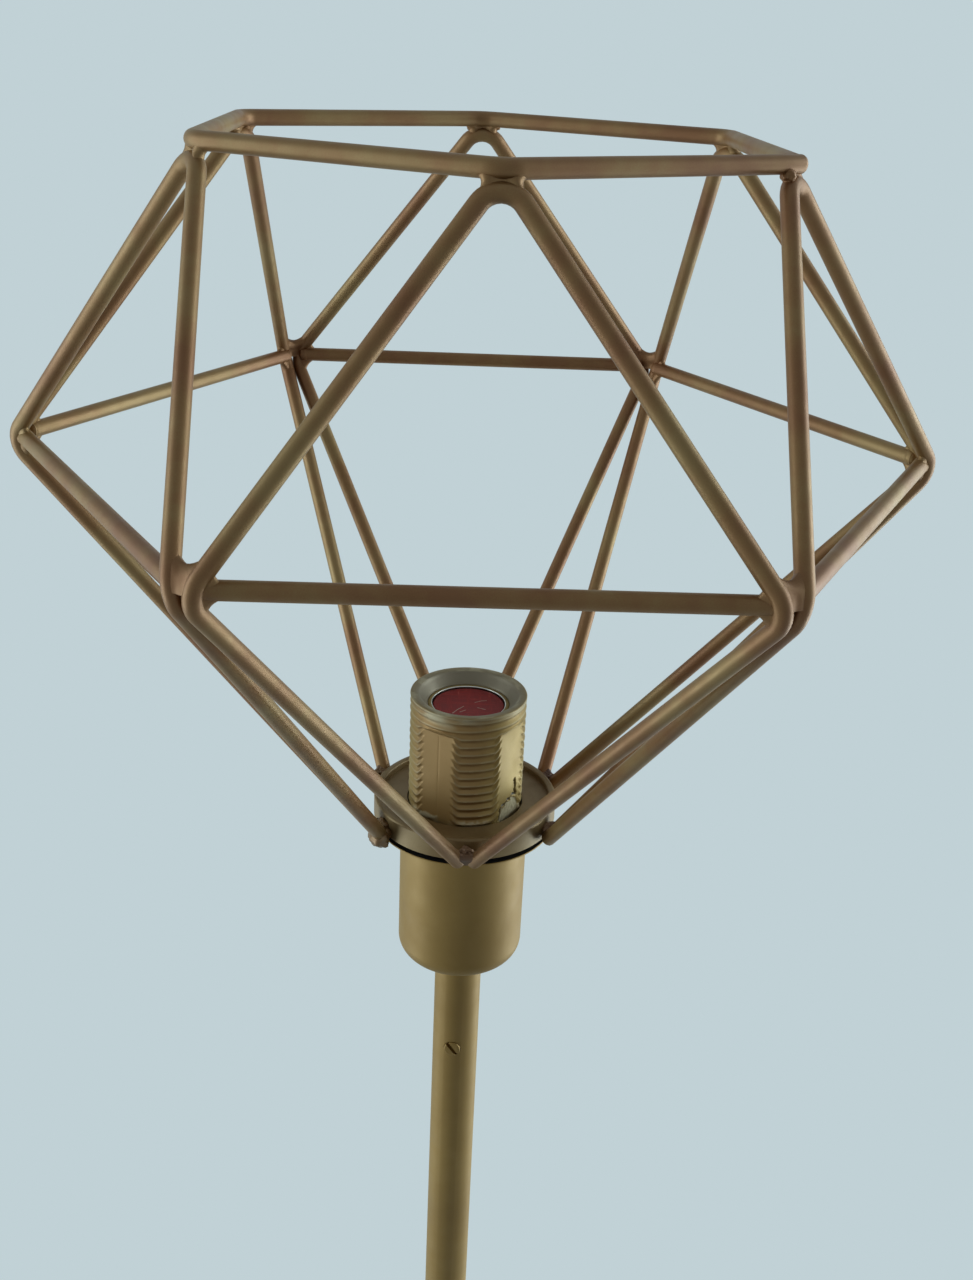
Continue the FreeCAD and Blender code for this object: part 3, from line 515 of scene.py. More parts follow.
def ring_places():
    """Level of the top ring's centre line, and radius of its corners before they are bent."""
    rise = math.sqrt((2 * ROD + GAP) ** 2 - RING_INSET ** 2)
    inner = -APEX_TOP.y - RING_INSET
    return APEX_TOP.z + rise, inner + RING_BEND * (1 / math.cos(TURN / 2) - 1)


RING_LEVEL, RING_CORNER = ring_places()


def ring_corner(number):
    """A corner of the top ring before it is bent."""
    angle = TURN * number
    return Vector((RING_CORNER * math.sin(angle), -RING_CORNER * math.cos(angle), RING_LEVEL))


def make_ring():
    """The hexagonal ring, whose blunt end stands past the joint at the second corner."""
    arriving = (ring_corner(1) - ring_corner(0)).normalized()
    leaving = (ring_corner(2) - ring_corner(1)).normalized()
    corners = [ring_corner(1) + leaving * RING_START]
    corners += [ring_corner(number) for number in range(2, KITES + 1)]
    corners += [ring_corner(1) + arriving * RING_OVERRUN]
    path = wire_path(corners, [(index, RING_BEND) for index in range(1, KITES)])
    piece = rod_along("ring_wire", path, end_round=1.5 * MM)
    dress(piece, "cage", "bronze_paint", bronze, "top_ring")


# Weld metal

# Blobs in mm: side, out from the hoop, up from the foot and size. Every foot has the first ones.

FOOT_BLOBS = [(0, 1.3, 2.2, 3.1), (-1.0, 3.4, 4.0, 1.2), (1.2, 3.5, 3.6, 1.1), (0.2, 3.2, 1.4, 1.5)]
END_BALLS = {5: [(2.4, 3.1, 0.3, 4.3)], 2: [(1.6, 2.8, 1.0, 2.5), (-1.5, 3.4, 1.6, 1.9)],
             1: [(-2.4, 2.9, 0.9, 2.7)], 4: [(0.6, 2.8, 1.2, 2.4)]}
BLOB_SHAPE = ((1, 0, 0), (0, 0.8, 0), (0, 0, 0.9))


# Spatter under the ring: kite, place along the ring and size in mm

RING_SPATTER = [(1, -3.4, 1.9), (4, 3.6, 2.0), (4, -2.6, 1.7), (3, 3.9, 1.4), (3, -4.2, 1.2)]
SPATTER_SHAPE = ((1.3, 0, 0), (0, 1, 0), (0, 0, 1))


# Webs in mm: start and end along the two wires, hollow of the far edge and half thickness

CONTACT_WEB = (0.8, 13, 5.2, 2.2)
BAR_TOP_WEB = (0, 10.4, 3, 1.9)
BAR_FOOT_WEB = (0, 8.4, 2.4, 1.8)
RING_WEB = (-0.6, 9.2, 4.2, 2.2)
RING_CREVICE = 0.62
FOOT_WEB = (0.4, 9, 3.4, 1.7)


def lump(centre, axes, seed, roughness):
    """Vertices and faces of an uneven ellipsoid of weld metal on three half-axis vectors."""
    rows = 20
    columns = 28
    verts = []
    offset = Vector((seed * 7.3, seed * 3.1, seed * 1.7))
    for row in range(rows + 1):
        lean = math.pi * row / rows
        for column in range(columns):
            turn = math.tau * column / columns
            wide = math.sin(lean)
            unit = Vector((wide * math.cos(turn), wide * math.sin(turn), math.cos(lean)))
            swell = 1 + roughness * noise.noise(unit * 1.6 + offset)
            swell += 0.35 * roughness * noise.noise(unit * 5 + offset)
            point = centre.copy()
            for axis, share in zip(axes, unit):
                point += axis * share * swell
            verts.append(point)
    return verts, grid_faces(rows + 1, columns)


def joined(name, parts):
    """One mesh from several (vertices, faces) pairs."""
    verts, faces = [], []
    for some_verts, some_faces in parts:
        start = len(verts)
        verts.extend(some_verts)
        faces.extend(tuple(start + index for index in face) for face in some_faces)
    return shaded(name, verts, faces, sharp=80)


def web(shape):
    """A closed thin web. Its shape gives a point, a way through and a half thickness at (across, up)."""
    rows = 14
    columns = 12
    front, back = [], []
    for row in range(rows + 1):
        for column in range(columns + 1):
            place, through, half = shape(2 * column / columns - 1, row / rows)
            front.append(place + through * half)
            back.append(place - through * half)
    wide = columns + 1
    shift = len(front)
    faces = []
    for row in range(rows):
        for column in range(columns):
            here = row * wide + column
            above = here + wide
            faces.append((here, here + 1, above + 1, above))
            faces.append((shift + above, shift + above + 1, shift + here + 1, shift + here))
    for column in range(columns):
        faces.append((shift + column, shift + column + 1, column + 1, column))
        top = rows * wide + column
        faces.append((top, top + 1, shift + top + 1, shift + top))
    for row in range(rows):
        left = row * wide
        faces.append((left, left + wide, shift + left + wide, shift + left))
        right = left + columns
        faces.append((shift + right, shift + right + wide, right + wide, right))
    return front + back, faces


def line_from(path, origin):
    """A function that gives the point at a distance along a path from one of its points, either way."""
    start = min(range(len(path)), key=lambda index: (path[index] - origin).length)

    def point_at(distance):
        index, left = start, abs(distance)
        step = 1 if distance > 0 else -1
        while 0 <= index + step < len(path):
            run = path[index + step] - path[index]
            if run.length >= left:
                return path[index] + run.normalized() * left
            left -= run.length
            index += step
        return path[index]

    return point_at


def web_between(first, second, sizes, seed, crevice=0.0):
    """Weld metal between two wires, hollow at its far edge and thinner at a crevice at its start."""
    start, end, hollow, half = (size * MM for size in sizes)

    def shape(across, share):
        reach = start + share * (end - start - hollow * (1 - across ** 2))
        one, other = first(reach), second(reach)
        ahead = first(reach + 0.5 * MM) + second(reach + 0.5 * MM) - one - other
        through = (other - one).cross(ahead).normalized()
        uneven = noise.noise(Vector((across * 1.6 + seed * 5, share * 2.5, seed))) * 0.22 * MM
        thick = half * (0.8 + 0.2 * across ** 2) * (1 - 0.6 * share ** 6) + uneven
        thick *= 1 - crevice * (1 - smooth_step(share, 0.1, 0.75))
        return one.lerp(other, (across + 1) / 2), through, thick

    return web(shape)


def mirrored(line):
    """A line on the left of the plane between two kites, from one on its right."""
    def point_at(distance):
        point = line(distance)
        return point - MIRROR_SIDE * (2 * point.dot(MIRROR_SIDE))

    return point_at


def flipped(line):
    """A line on the left half of the first kite, from one on its right half."""
    return lambda distance: flip(line(distance))


def turned_points(part, number):
    """The vertices and faces of a part turned to one of the six kites."""
    verts, faces = part
    return around(verts, number), faces


def waist_metal(number):
    """The web above a waist contact, and the metal round the two ends of a waist bar."""
    half_kite = wire_path([FOOT, WAIST, APEX], [(1, WAIST_BEND)], steps=40, stride=1 * MM)
    upper = line_from(half_kite, WAIST_MIDDLE)
    bar_low, bar_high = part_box("waist_bar_1")
    bar_middle = (bar_low + bar_high) / 2

    def lower(distance):
        return upper(-distance)

    def bar(distance):
        return Vector((bar_high.x - distance, bar_middle.y, bar_middle.z))

    parts = []
    for side in (1, -1):
        seed = number * 2 + side + 20
        over, along, under = (flipped(line) if side < 0 else line for line in (upper, bar, lower))
        parts.append(web_between(over, along, BAR_TOP_WEB, seed))
        parts.append(web_between(along, under, BAR_FOOT_WEB, seed + 1))
        end = bar(1.2 * MM)
        end.x *= side
        axes = [Vector((2.6 * MM, 0, 0)), Vector((0, 2.62 * MM, 0)), Vector((0, 0, 2.62 * MM))]
        parts.append(lump(end, axes, seed, 0.06))
    contact = web_between(upper, mirrored(upper), CONTACT_WEB, number)
    return [turned_points(contact, number)], [turned_points(part, number) for part in parts]


def ring_metal(number):
    """The fillets that fill the two wedges between the ring and the shoulders of an apex."""
    corners = [ring_corner(-1), ring_corner(0), ring_corner(1)]
    ring = wire_path(corners, [(1, RING_BEND)], steps=16, stride=1 * MM)
    arch = wire_path([flip(WAIST), APEX, WAIST], [(1, APEX_BEND)], steps=40, stride=1 * MM)
    over = line_from(ring, arc_middle(*corners, RING_BEND))
    under = line_from(arch, APEX_TOP)
    parts = [web_between(over, under, RING_WEB, number + 40, RING_CREVICE),
             web_between(flipped(under), flipped(over), RING_WEB, number + 50, RING_CREVICE)]
    return [turned_points(part, number) for part in parts]


def foot_metal(number):
    """The uneven blobs between and over the two wire ends of a foot."""
    leg = line_from([FOOT, WAIST], FOOT)
    parts = [web_between(leg, flipped(leg), FOOT_WEB, number + 60)]
    for index, (x, y, z, size) in enumerate(FOOT_BLOBS + END_BALLS.get(number, [])):
        centre = Vector((x * MM, -HOOP_RADIUS - y * MM, FOOT.z + z * MM))
        axes = [Vector(axis) * size * MM for axis in BLOB_SHAPE]
        parts.append(lump(centre, axes, number * 3 + index + 11, 0.36))
    return [turned_points(part, number) for part in parts]


def make_welds():
    """Webs at the waist and round the bar ends, fillets and spatter under the ring, blobs at the feet."""
    webs, ends, beads, blobs = [], [], [], []
    for number in range(KITES):
        contact, corners = waist_metal(number)
        webs += contact
        ends += corners
        beads += ring_metal(number)
        blobs += foot_metal(number)
    for number, along, size in RING_SPATTER:
        turn = Matrix.Rotation(TURN * number, 4, "Z")
        centre = turn @ Vector((along * MM, APEX_TOP.y + 0.4 * MM, APEX_TOP.z + 2.4 * MM))
        axes = [turn @ Vector(axis) * size * MM for axis in SPATTER_SHAPE]
        beads.append(lump(centre, axes, number + 30, 0.3))
    dress(joined("waist_weld_metal", webs), "cage", "bronze_paint", bronze, "waist_welds")
    dress(joined("bar_end_metal", ends), "cage", "bronze_paint", bronze)
    dress(joined("ring_weld_metal", beads), "cage", "bronze_paint", bronze, "ring_welds")
    dress(joined("foot_weld_metal", blobs), "cage", "bronze_paint", weld_finish, "foot_welds")


# Lampholder

def smooth_step(value, low, high):
    """0 below low, 1 above high, smooth between."""
    share = min(1, max(0, (value - low) / (high - low)))
    return share * share * (3 - 2 * share)


def distance_to_line(point, line):
    """Shortest distance from a flat point to a line of points."""
    best = 1.0
    for start, end in zip(line, line[1:]):
        run = end - start
        share = min(1, max(0, (point - start).dot(run) / run.length_squared))
        best = min(best, (point - start - run * share).length)
    return best


def on_skirt(angle, below):
    """Flat coordinates on the skirt, from an angle in degrees and a depth in mm below the mouth."""
    return Vector((math.radians(angle) * SKIRT_RADIUS, MOUTH - below * MM))


CRACK = [on_skirt(angle, below) for angle, below in (
    (62.5, 28.5), (64.5, 31.0), (63.5, 32.6), (66.0, 34.6), (60.0, 34.0), (55.5, 35.2),
    (51.0, 34.9), (47.0, 36.2), (41.5, 36.0), (38.0, 37.2), (39.0, 38.6), (36.5, 41.0))]
CHIP_EDGE = [on_skirt(angle, below) for angle, below in (
    (38.0, 38.4), (41.5, 36.8), (47.0, 37.0), (51.0, 35.8),
    (55.5, 36.2), (60.0, 35.0), (66.0, 36.0), (70.0, 38.5))]


def below_line(flat, line):
    """How far a flat point lies below a line that runs to the right. Negative above it or beside it."""
    for start, end in zip(line, line[1:]):
        if start.x <= flat.x <= end.x:
            share = (flat.x - start.x) / (end.x - start.x)
            return start.y + (end.y - start.y) * share - flat.y
    return -1.0


def angle_off(angle, centre):
    """How far an angle lies from another one, either way round."""
    return abs((angle - centre + math.pi) % math.tau - math.pi)


def thread_radius(angle, height):
    """Radius of the thread, which sweeps up at four flats that cut it and stop short of the mouth."""
    nearest = min(angle_off(angle, centre) for centre in BAND_CENTRES)
    sweep = THREAD_SWEEP * (1 - smooth_step(nearest, BAND_HALF, BAND_HALF * 1.65))
    sweep *= 1 - smooth_step(height, BAND_TOP - 1 * MM, BAND_TOP + 2 * MM)
    phase = (height - MOUTH) / THREAD_PITCH - angle / math.tau + THREAD_PHASE - sweep
    ridge = (1 - abs(2 * (phase % 1) - 1)) ** CREST_POWER
    rim = smooth_step(MOUTH - height, 0.5 * MM, 2.0 * MM)
    radius = SKIRT_RADIUS - THREAD_DEPTH * (1 - ridge) * rim
    root = SKIRT_RADIUS - THREAD_DEPTH
    for centre in BAND_CENTRES:
        off = angle_off(angle, centre)
        if off < 2 * BAND_HALF:
            cut = root * math.cos(BAND_HALF) / math.cos(off)
            cut += (SKIRT_RADIUS - root) * smooth_step(off, BAND_HALF, BAND_HALF * 1.75) * 0.45
            shoulder = smooth_step(height, BAND_TOP - 0.5 * MM, BAND_TOP + 1.1 * MM)
            radius = min(radius, cut + (SKIRT_RADIUS - cut + 0.1 * MM) * shoulder)
    return radius


def skirt_surface(angle, height):
    """Radius of the skirt, how much wear and painted crest highlight it has there, and how far it is
    cracked.
    """
    facing = (angle + math.pi) % math.tau - math.pi
    flat = Vector((facing * SKIRT_RADIUS, height))
    ragged = noise.noise(Vector((flat.x, flat.y, 0)) * 900) * RAGGED
    parting = math.exp(-((flat.x - BAND_CENTRES[0] * SKIRT_RADIUS - 0.5 * MM) / PARTING_WIDTH) ** 2)
    parting *= 1 - smooth_step(height, BAND_TOP - 1 * MM, BAND_TOP)
    groove = 1 - smooth_step(distance_to_line(flat, CRACK) + ragged * 0.6, *CRACK_EDGES)
    chip = smooth_step(below_line(flat, CHIP_EDGE) + ragged * 2, 0.0, 0.3 * MM)
    above_foot = height - HUB_TOP - DISC_THICKNESS
    patchy = smooth_step(noise.noise(Vector((flat.x, flat.y, 3)) * 190), -0.12, 0.2)
    flaked = (1 - smooth_step(above_foot + ragged * 3, 0.5 * MM, 1.5 * MM)) * patchy
    rubbed = smooth_step(noise.noise(Vector((flat.x, flat.y * 2, 8)) * 120), -0.3, 0.3)
    lip = 0.75 * rubbed * smooth_step(height, MOUTH - 6 * MM, MOUTH - 2 * MM)
    lip *= 1 - smooth_step(angle_off(angle, RUBBED_AT), 0.3, 0.8)
    threaded = thread_radius(angle, height)
    # Painted highlight: the thread crests are painted paler, standing in for the light they catch.
    crest_highlight = smooth_step((threaded - SKIRT_RADIUS) / THREAD_DEPTH + 1, 0.62, 0.95)
    crest_highlight *= 0.3 + 0.12 * noise.noise(Vector((flat.x, flat.y, 5)) * 260)
    radius = threaded - PARTING_DEPTH * parting - CRACK_DEPTH * groove
    radius -= (CHIP_DEPTH + 0.8 * ragged) * chip
    radius += FLAKED_SWELL * flaked
    return radius, max(chip, flaked * 0.75, lip, crest_highlight), groove


def make_skirt():
    """The threaded skirt, from its relieved foot in the cup to its mouth and down inside."""
    columns = 440
    rows = 190
    outside_bottom = CUP_TOP - 8 * MM
    depth = MOUTH - outside_bottom
    outside = [MOUTH - 0.45 * MM - depth * row / rows for row in range(rows, -1, -1)]
    rim = [(SKIRT_RADIUS - inset * MM, MOUTH - drop * MM) for inset, drop in (
        (0.10, 0.22), (0.35, 0.07), (0.8, 0))]
    rim += [(MOUTH_RADIUS + out * MM, MOUTH - drop * MM) for out, drop in (
        (1.2, 0.02), (0.6, 0.16), (0.2, 0.5), (0, 0.9))]
    for share in (0.25, 0.5, 0.75, 0.95):
        radius = MOUTH_RADIUS + (THROAT_RADIUS - MOUTH_RADIUS) * share
        rim.append((radius, MOUTH - 0.9 * MM + (THROAT_LEVEL - MOUTH + 1.0 * MM) * share))
    rim += [(THROAT_RADIUS, THROAT_LEVEL - 0.15 * MM), (THROAT_RADIUS, THROAT_LEVEL - 1.2 * MM),
            (SKIRT_BORE, THROAT_LEVEL - 1.4 * MM), (SKIRT_BORE, THROAT_LEVEL - 12 * MM),
            (SKIRT_BORE, outside_bottom)]
    verts, wear_and_highlight, crack, inside, warm_reflection = [], [], [], [], []
    for height in outside:
        for column in range(columns):
            angle = math.tau * column / columns
            radius, wear_and_highlight_here, groove = skirt_surface(angle, height)
            if height < CUP_TOP + 1 * MM:
                radius = min(radius, SKIRT_RADIUS - 0.45 * MM)
            verts.append((radius * math.sin(angle), -radius * math.cos(angle), height))
            wear_and_highlight.append(wear_and_highlight_here)
            crack.append(groove)
            inside.append(0.3 * smooth_step(height, MOUTH - 5 * MM, MOUTH))
            # Painted reflection: how much browner the front-left is painted, by angle only.
            warm_reflection.append(1 - smooth_step(angle_off(angle, WARM_REFLECTION_AT), 0.45, 1.05))
    for row, (radius, height) in enumerate(rim):
        for column in range(columns):
            angle = math.tau * column / columns
            scuff = noise.noise(Vector((math.sin(angle) * 3.1, math.cos(angle) * 3.1, row * 0.4)))
            verts.append((radius * math.sin(angle), -radius * math.cos(angle), height))
            near = smooth_step(-angle_off(angle, RUBBED_AT), -1.1, -0.3)
            rubbed = 0.5 * smooth_step(scuff, -0.1, 0.3) * near
            wear_and_highlight.append(max(rubbed, 0.45 * smooth_step(scuff, 0.15, 0.4)) if row <= 4 else 0.0)
            crack.append(0.0)
            inside.append(min(1.0, 0.3 + 0.14 * row))
            warm_reflection.append(0.0)
    faces = grid_faces(len(outside) + len(rim), columns, closed_rows=True)
    piece = shaded("threaded_skirt", verts, faces, sharp=70)
    for name, values in (("wear_and_highlight", wear_and_highlight), ("crack", crack), ("inside", inside), ("warm_reflection", warm_reflection)):
        piece.data.attributes.new(name, "FLOAT", "POINT").data.foreach_set("value", values)
    dress(piece, "stand", "painted_plastic", skirt_finish, "holder_skirt")


def make_screw_shell():
    """The rolled shell with its knuckle thread. Its lip turns in round the plug, bare at its edge."""
    low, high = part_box("screw_shell")
    top = high.z
    radius = high.x
    wall = 0.5 * MM
    lip_bore = 12.35 * MM
    bare = 12.62 * MM
    pitch = 3.6 * MM
    knuckle_depth = 0.5 * MM
    columns = 160
    steps = 110

    def knuckle(height, angle):
        wave = math.sin(math.tau * (height / pitch - angle / math.tau))
        return knuckle_depth * smooth_step(top - height, 2 * MM, 5 * MM) * (0.5 + 0.5 * wave)

    heights = [low.z + (top - 1.2 * MM - low.z) * row / steps for row in range(steps + 1)]
    rings = [(radius, height, True) for height in heights]
    rings += [(radius, top - 0.35 * MM, False), (radius - 0.1 * MM, top - 0.08 * MM, False),
              (radius - 0.35 * MM, top, False), (bare, top - 0.01 * MM, False),
              (lip_bore + 0.1 * MM, top, False), (lip_bore, top - 0.12 * MM, False),
              (lip_bore, top - wall + 0.1 * MM, False), (lip_bore + 0.1 * MM, top - wall, False),
              (radius - wall - 0.1 * MM, top - wall, False)]
    rings += [(radius - wall, height, True) for height in reversed(heights)]
    verts = []
    for size, height, threaded in rings:
        for column in range(columns):
            angle = math.tau * column / columns
            out = size - (knuckle(height, angle) if threaded else 0)
            verts.append((out * math.sin(angle), -out * math.cos(angle), height))
    piece = shaded("rolled_shell", verts, grid_faces(len(rings), columns, closed_rows=True), sharp=60)
    dress(piece, "stand", "shell_metal", shell_finish, "screw_shell")
    piece.data.materials.append(skirt_finish.material)
    for polygon in piece.data.polygons:
        out = math.hypot(polygon.center.x, polygon.center.y)
        if polygon.center.z > top - 0.3 * MM and out > bare:
            polygon.material_index = 1


# Scratches on the plug, as lines in mm seen from above with the front at -y

SCRATCHES = [[Vector((-5.4, -6.6)), Vector((-3.6, -3.6)), Vector((-1.6, -1.2))],
             [Vector((-3.0, -5.6)), Vector((-1.0, -4.0))],
             [Vector((2.2, 1.8)), Vector((4.4, 3.0)), Vector((6.2, 3.2))],
             [Vector((3.0, -2.0)), Vector((5.6, -3.4))]]


def make_plug():
    """The pushed-in cap, a shallow disc with a rolled rim and scratches from handling."""
    low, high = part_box("socket_plug")
    radius = high.x
    columns = 200
    steps = 90
    dish = 0.25 * MM
    disc = [(radius * step / steps, high.z - dish * (1 - (step / steps) ** 2))
            for step in range(1, steps - 3)]
    wall = [(radius - 0.35 * MM, high.z - 0.02 * MM), (radius - 0.1 * MM, high.z - 0.12 * MM),
            (radius, high.z - 0.4 * MM), (radius, low.z + 0.3 * MM), (radius - 0.3 * MM, low.z),
            (radius - 0.9 * MM, low.z), (radius - 1.2 * MM, low.z + 0.3 * MM),
            (radius - 1.2 * MM, high.z - 2.0 * MM), (radius - 1.8 * MM, high.z - 1.6 * MM),
            (0.1 * MM, high.z - 1.6 * MM)]
    outline = disc + wall
    verts, marks = [], []
    for size, height in outline:
        for column in range(columns):
            angle = math.tau * column / columns
            place = Vector((size * math.sin(angle), -size * math.cos(angle)))
            mark = 0.0
            if height > high.z - 0.5 * MM:
                nearest = min(distance_to_line(place / MM, line) for line in SCRATCHES)
                mark = 1 - smooth_step(nearest, 0.05, 0.16)
            verts.append((place.x, place.y, height - 0.03 * MM * mark))
            marks.append(mark)
    faces = grid_faces(len(outline), columns)
    faces.append(tuple(reversed(range(columns))))
    last = (len(outline) - 1) * columns
    faces.append(tuple(range(last, last + columns)))
    piece = shaded("red_cap", verts, faces, sharp=50)
    piece.data.attributes.new("scratch", "FLOAT", "POINT").data.foreach_set("value", marks)
    dress(piece, "plug", "red_plastic", red_finish, "socket_plug")


def make_shade_ring():
    """The flanged ring: gold at its edge and underside, black on its top and hub as painted shade in the
    gap under the hoop.
    """
    low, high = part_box("shade_ring")
    flange = high.x
    bore = SKIRT_RADIUS + 0.3 * MM
    hub = 24 * MM
    top = low.z + 0.55 * MM
    gold_edge_width = 0.45 * MM
    corners = [(bore, low.z), (flange, low.z), (flange, top), (hub, top), (hub, high.z), (bore, high.z)]
    radii = [0.2 * MM, 0.2 * MM, 0.2 * MM, 0.5 * MM, 0.4 * MM, 0.2 * MM]
    piece = turned("flanged_ring", rounded_corners(corners, radii))
    dress(piece, "shade_ring_body", "painted_plastic", gold, "shade_ring")
    # Painted shade: the top and hub are made black to darken the gap between the hoop and the flange.
    piece.data.materials.append(gap_shade_black.material)
    for polygon in piece.data.polygons:
        out = math.hypot(polygon.center.x, polygon.center.y)
        if out < flange - gold_edge_width and polygon.center.z > low.z + 0.2 * MM:
            polygon.material_index = 1


# The set screw, as in the model: its direction from the front and its size, and the lean of its slot

SCREW_AZIMUTH = math.radians(-9)
SCREW_TILT = math.radians(37)
SCREW_FACE = 9.0 * MM
SCREW_RADIUS = 3.0 * MM
SCREW_HALF_SLOT = 0.6 * MM
SCREW_RIM = ((0.0, -1.5), (0.0, -0.35), (0.06, -0.15), (0.2, -0.04), (0.42, 0.0))


def make_set_screw():
    """A slotted grub screw, its head's two halves rounded at the rim, and the core below them."""
    low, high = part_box("set_screw")
    outward = Vector((math.sin(SCREW_AZIMUTH), -math.cos(SCREW_AZIMUTH), 0))
    sideways = Vector((math.cos(SCREW_AZIMUTH), math.sin(SCREW_AZIMUTH), 0))
    along = UP * math.cos(SCREW_TILT) - sideways * math.sin(SCREW_TILT)
    across = outward.cross(along)
    middle = UP * (low.z + high.z) / 2

    def at(depth, over, run):
        return middle + outward * (SCREW_FACE + depth * MM) + across * over + along * run

    reach = math.acos(SCREW_HALF_SLOT / SCREW_RADIUS)
    steps = 24
    turns = [-reach + 2 * reach * step / steps for step in range(steps + 1)]
    parts = []
    for side in (-1, 1):
        rings = []
        for inset, depth in SCREW_RIM:
            shrink = 1 - inset * MM / SCREW_RADIUS
            slot = SCREW_HALF_SLOT + inset * MM * 0.3
            ring = []
            for turn in turns:
                over = (math.cos(turn) * SCREW_RADIUS - inset * MM * 0.6) * shrink
                ring.append(at(depth, side * max(slot, over), math.sin(turn) * SCREW_RADIUS * shrink))
            rings.append(ring if side > 0 else ring[::-1])
        count = len(turns)
        verts = [point for ring in rings for point in ring]
        faces = grid_faces(len(rings), count)
        faces.append(tuple(range((len(rings) - 1) * count, len(rings) * count)))
        parts.append((verts, faces))
    sides = 32
    core = []
    for depth in (-5.5, -1.4):
        for step in range(sides):
            turn = math.tau * step / sides
            core.append(at(depth, math.sin(turn) * SCREW_RADIUS, math.cos(turn) * SCREW_RADIUS))
    ends = [tuple(range(sides, 2 * sides)), tuple(reversed(range(sides)))]
    parts.append((core, grid_faces(2, sides) + ends))
    dress(joined("slotted_screw", parts), "stand", "gold_paint", gold, "set_screw")


# Carried-over nodes

def finish_nodes():
    """Gives each node of the frame its own finish, or the one of its slot."""
    for entry in frame["record"]["subparts"]:
        piece = frame["nodes"][entry["node"]]
        finish = NODE_FINISHES.get(entry["node"], FINISHES[entry["material_slot"]])
        piece.data.materials.clear()
        piece.data.materials.append(finish.material)


# Stage, light and camera

BACKGROUND = (0.533, 0.638, 0.672)
ROOM_LIGHT = (1.0, 0.84, 0.68)
ROOM_STRENGTH = 0.07
FLOOR_REACH = 40.0
FLOOR_COLOUR = (0.50, 0.56, 0.57)
FLOOR_GLOW = 0.45
FLOOR_FADE = (0.35, 0.8)
DAYLIGHT = (0.82, 0.97, 1.0)
WINDOW_SIZE = (1.0, 2.2)
WINDOW_TARGET = Vector((0, 0, 1.15))


def light_path(tree):
    """1 for rays that should see the plain background."""
    path = tree.nodes.new("ShaderNodeLightPath")
    seen = path.outputs["Is Camera Ray"]
    for name in ("Is Glossy Ray", "Is Transmission Ray"):
        both = tree.nodes.new("ShaderNodeMath")
        both.operation = "MAXIMUM"
        tree.links.new(seen, both.inputs[0])
        tree.links.new(path.outputs[name], both.inputs[1])
        seen = both.outputs[0]
    return seen


def make_world():
    """A pale background, and a faint warm light from all round."""
    world = bpy.data.worlds.new("studio")
    bpy.context.scene.world = world
    world.use_nodes = True
    tree = world.node_tree
    shown = tree.nodes["Background"]
    shown.inputs[0].default_value = (*BACKGROUND, 1)
    shown.inputs[1].default_value = 1.0
    light = tree.nodes.new("ShaderNodeBackground")
    light.inputs[0].default_value = (*ROOM_LIGHT, 1)
    light.inputs[1].default_value = ROOM_STRENGTH
    mix = tree.nodes.new("ShaderNodeMixShader")
    tree.links.new(light_path(tree), mix.inputs[0])
    tree.links.new(light.outputs[0], mix.inputs[1])
    tree.links.new(shown.outputs[0], mix.inputs[2])
    tree.links.new(mix.outputs[0], tree.nodes["World Output"].inputs[0])


def make_floor():
    """A pale floor that takes the lamp's shadow and fades into the background all round."""
    mesh = bpy.data.meshes.new("floor")
    corners = [(x * FLOOR_REACH, y * FLOOR_REACH, 0) for x, y in ((-1, -1), (1, -1), (1, 1), (-1, 1))]
    mesh.from_pydata(corners, [], [(0, 1, 2, 3)])
    floor = bpy.data.objects.new("floor", mesh)
    bpy.context.scene.collection.objects.link(floor)
    finish = Finish("pale_floor", roughness=0.9)
    dimmed = finish.maths("MULTIPLY", light_path(finish.tree), FLOOR_GLOW)
    finish.set(finish.shader, Base_Color=(*FLOOR_COLOUR, 1), Specular_IOR_Level=0.1,
               Emission_Color=(*BACKGROUND, 1), Emission_Strength=dimmed)
    length = finish.node("ShaderNodeVectorMath", {"operation": "LENGTH"}, Vector=finish.place)
    far = finish.span(length.outputs["Value"], *FLOOR_FADE)
    glow = finish.node("ShaderNodeEmission", Color=(*BACKGROUND, 1), Strength=light_path(finish.tree))
    mix = finish.tree.nodes.new("ShaderNodeMixShader")
    finish.tree.links.new(far, mix.inputs[0])
    finish.tree.links.new(finish.shader.outputs[0], mix.inputs[1])
    finish.tree.links.new(glow.outputs[0], mix.inputs[2])
    finish.tree.links.new(mix.outputs[0], finish.tree.nodes["Material Output"].inputs[0])
    mesh.materials.append(finish.material)


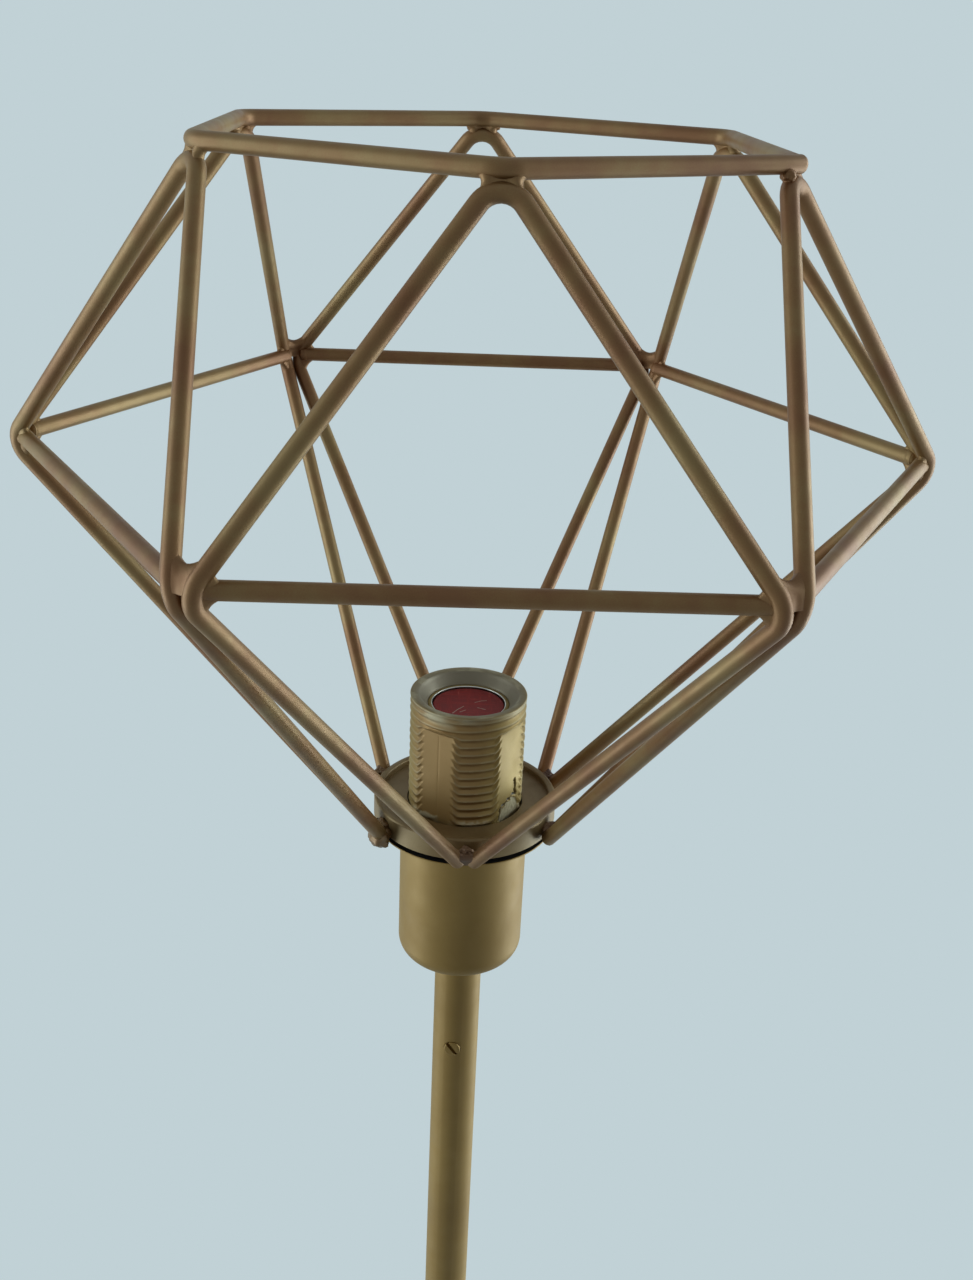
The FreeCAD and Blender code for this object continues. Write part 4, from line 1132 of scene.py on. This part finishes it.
def window(name, place, power):
    """A tall soft light aimed at the middle of the stage."""
    data = bpy.data.lights.new(name, "AREA")
    data.shape = "RECTANGLE"
    data.size, data.size_y = WINDOW_SIZE
    data.energy = power
    data.color = DAYLIGHT
    lamp = bpy.data.objects.new(name, data)
    bpy.context.scene.collection.objects.link(lamp)
    lamp.location = place
    lamp.rotation_euler = (WINDOW_TARGET - Vector(place)).to_track_quat("-Z", "Y").to_euler()


def make_lights():
    """Cool daylight from two tall windows, one a little behind the lamp on its right, one on its left."""
    window("window_right", (1.5, 0.36, 1.15), 35)
    window("window_left", (-1.5, -0.12, 1.15), 23)


# The photograph's viewpoint: angles in radians, the point aimed at from the middle of the mouth

CAMERA_TURN = math.radians(-2.62)
CAMERA_PITCH = 0.4238
CAMERA_ROLL = 0.045
CAMERA_DISTANCE = 450.6 * MM
CAMERA_AIM = Vector((5.1 * MM, 0, 19.46 * MM))
FOCAL_PIXELS = 1360.0
LONG_SIDE = 1280
SENSOR = 36.0


def make_camera():
    """The photograph's viewpoint: a little above the lampholder, close to the cage."""
    ahead = Vector((0, math.cos(CAMERA_PITCH), -math.sin(CAMERA_PITCH)))
    right = Vector((1, 0, 0))
    up = right.cross(ahead)
    rolled_right = right * math.cos(CAMERA_ROLL) + up * math.sin(CAMERA_ROLL)
    rolled_up = up * math.cos(CAMERA_ROLL) - right * math.sin(CAMERA_ROLL)
    spin = Matrix.Rotation(CAMERA_TURN, 3, "Z")
    place = spin @ (CAMERA_AIM + UP * MOUTH - ahead * CAMERA_DISTANCE)
    axes = Matrix((spin @ rolled_right, spin @ rolled_up, spin @ -ahead)).transposed()
    data = bpy.data.cameras.new("camera")
    data.sensor_width = SENSOR
    data.lens = FOCAL_PIXELS / LONG_SIDE * SENSOR
    data.clip_start = 0.01
    camera = bpy.data.objects.new("camera", data)
    camera.matrix_world = Matrix.Translation(place) @ axes.to_4x4()
    bpy.context.scene.collection.objects.link(camera)
    bpy.context.scene.camera = camera


finish_nodes()
make_kites()
make_ring()
make_welds()
make_skirt()
make_screw_shell()
make_plug()
make_shade_ring()
make_set_screw()
make_world()
make_floor()
make_lights()
make_camera()
bpy.context.scene.view_settings.view_transform = "Standard"
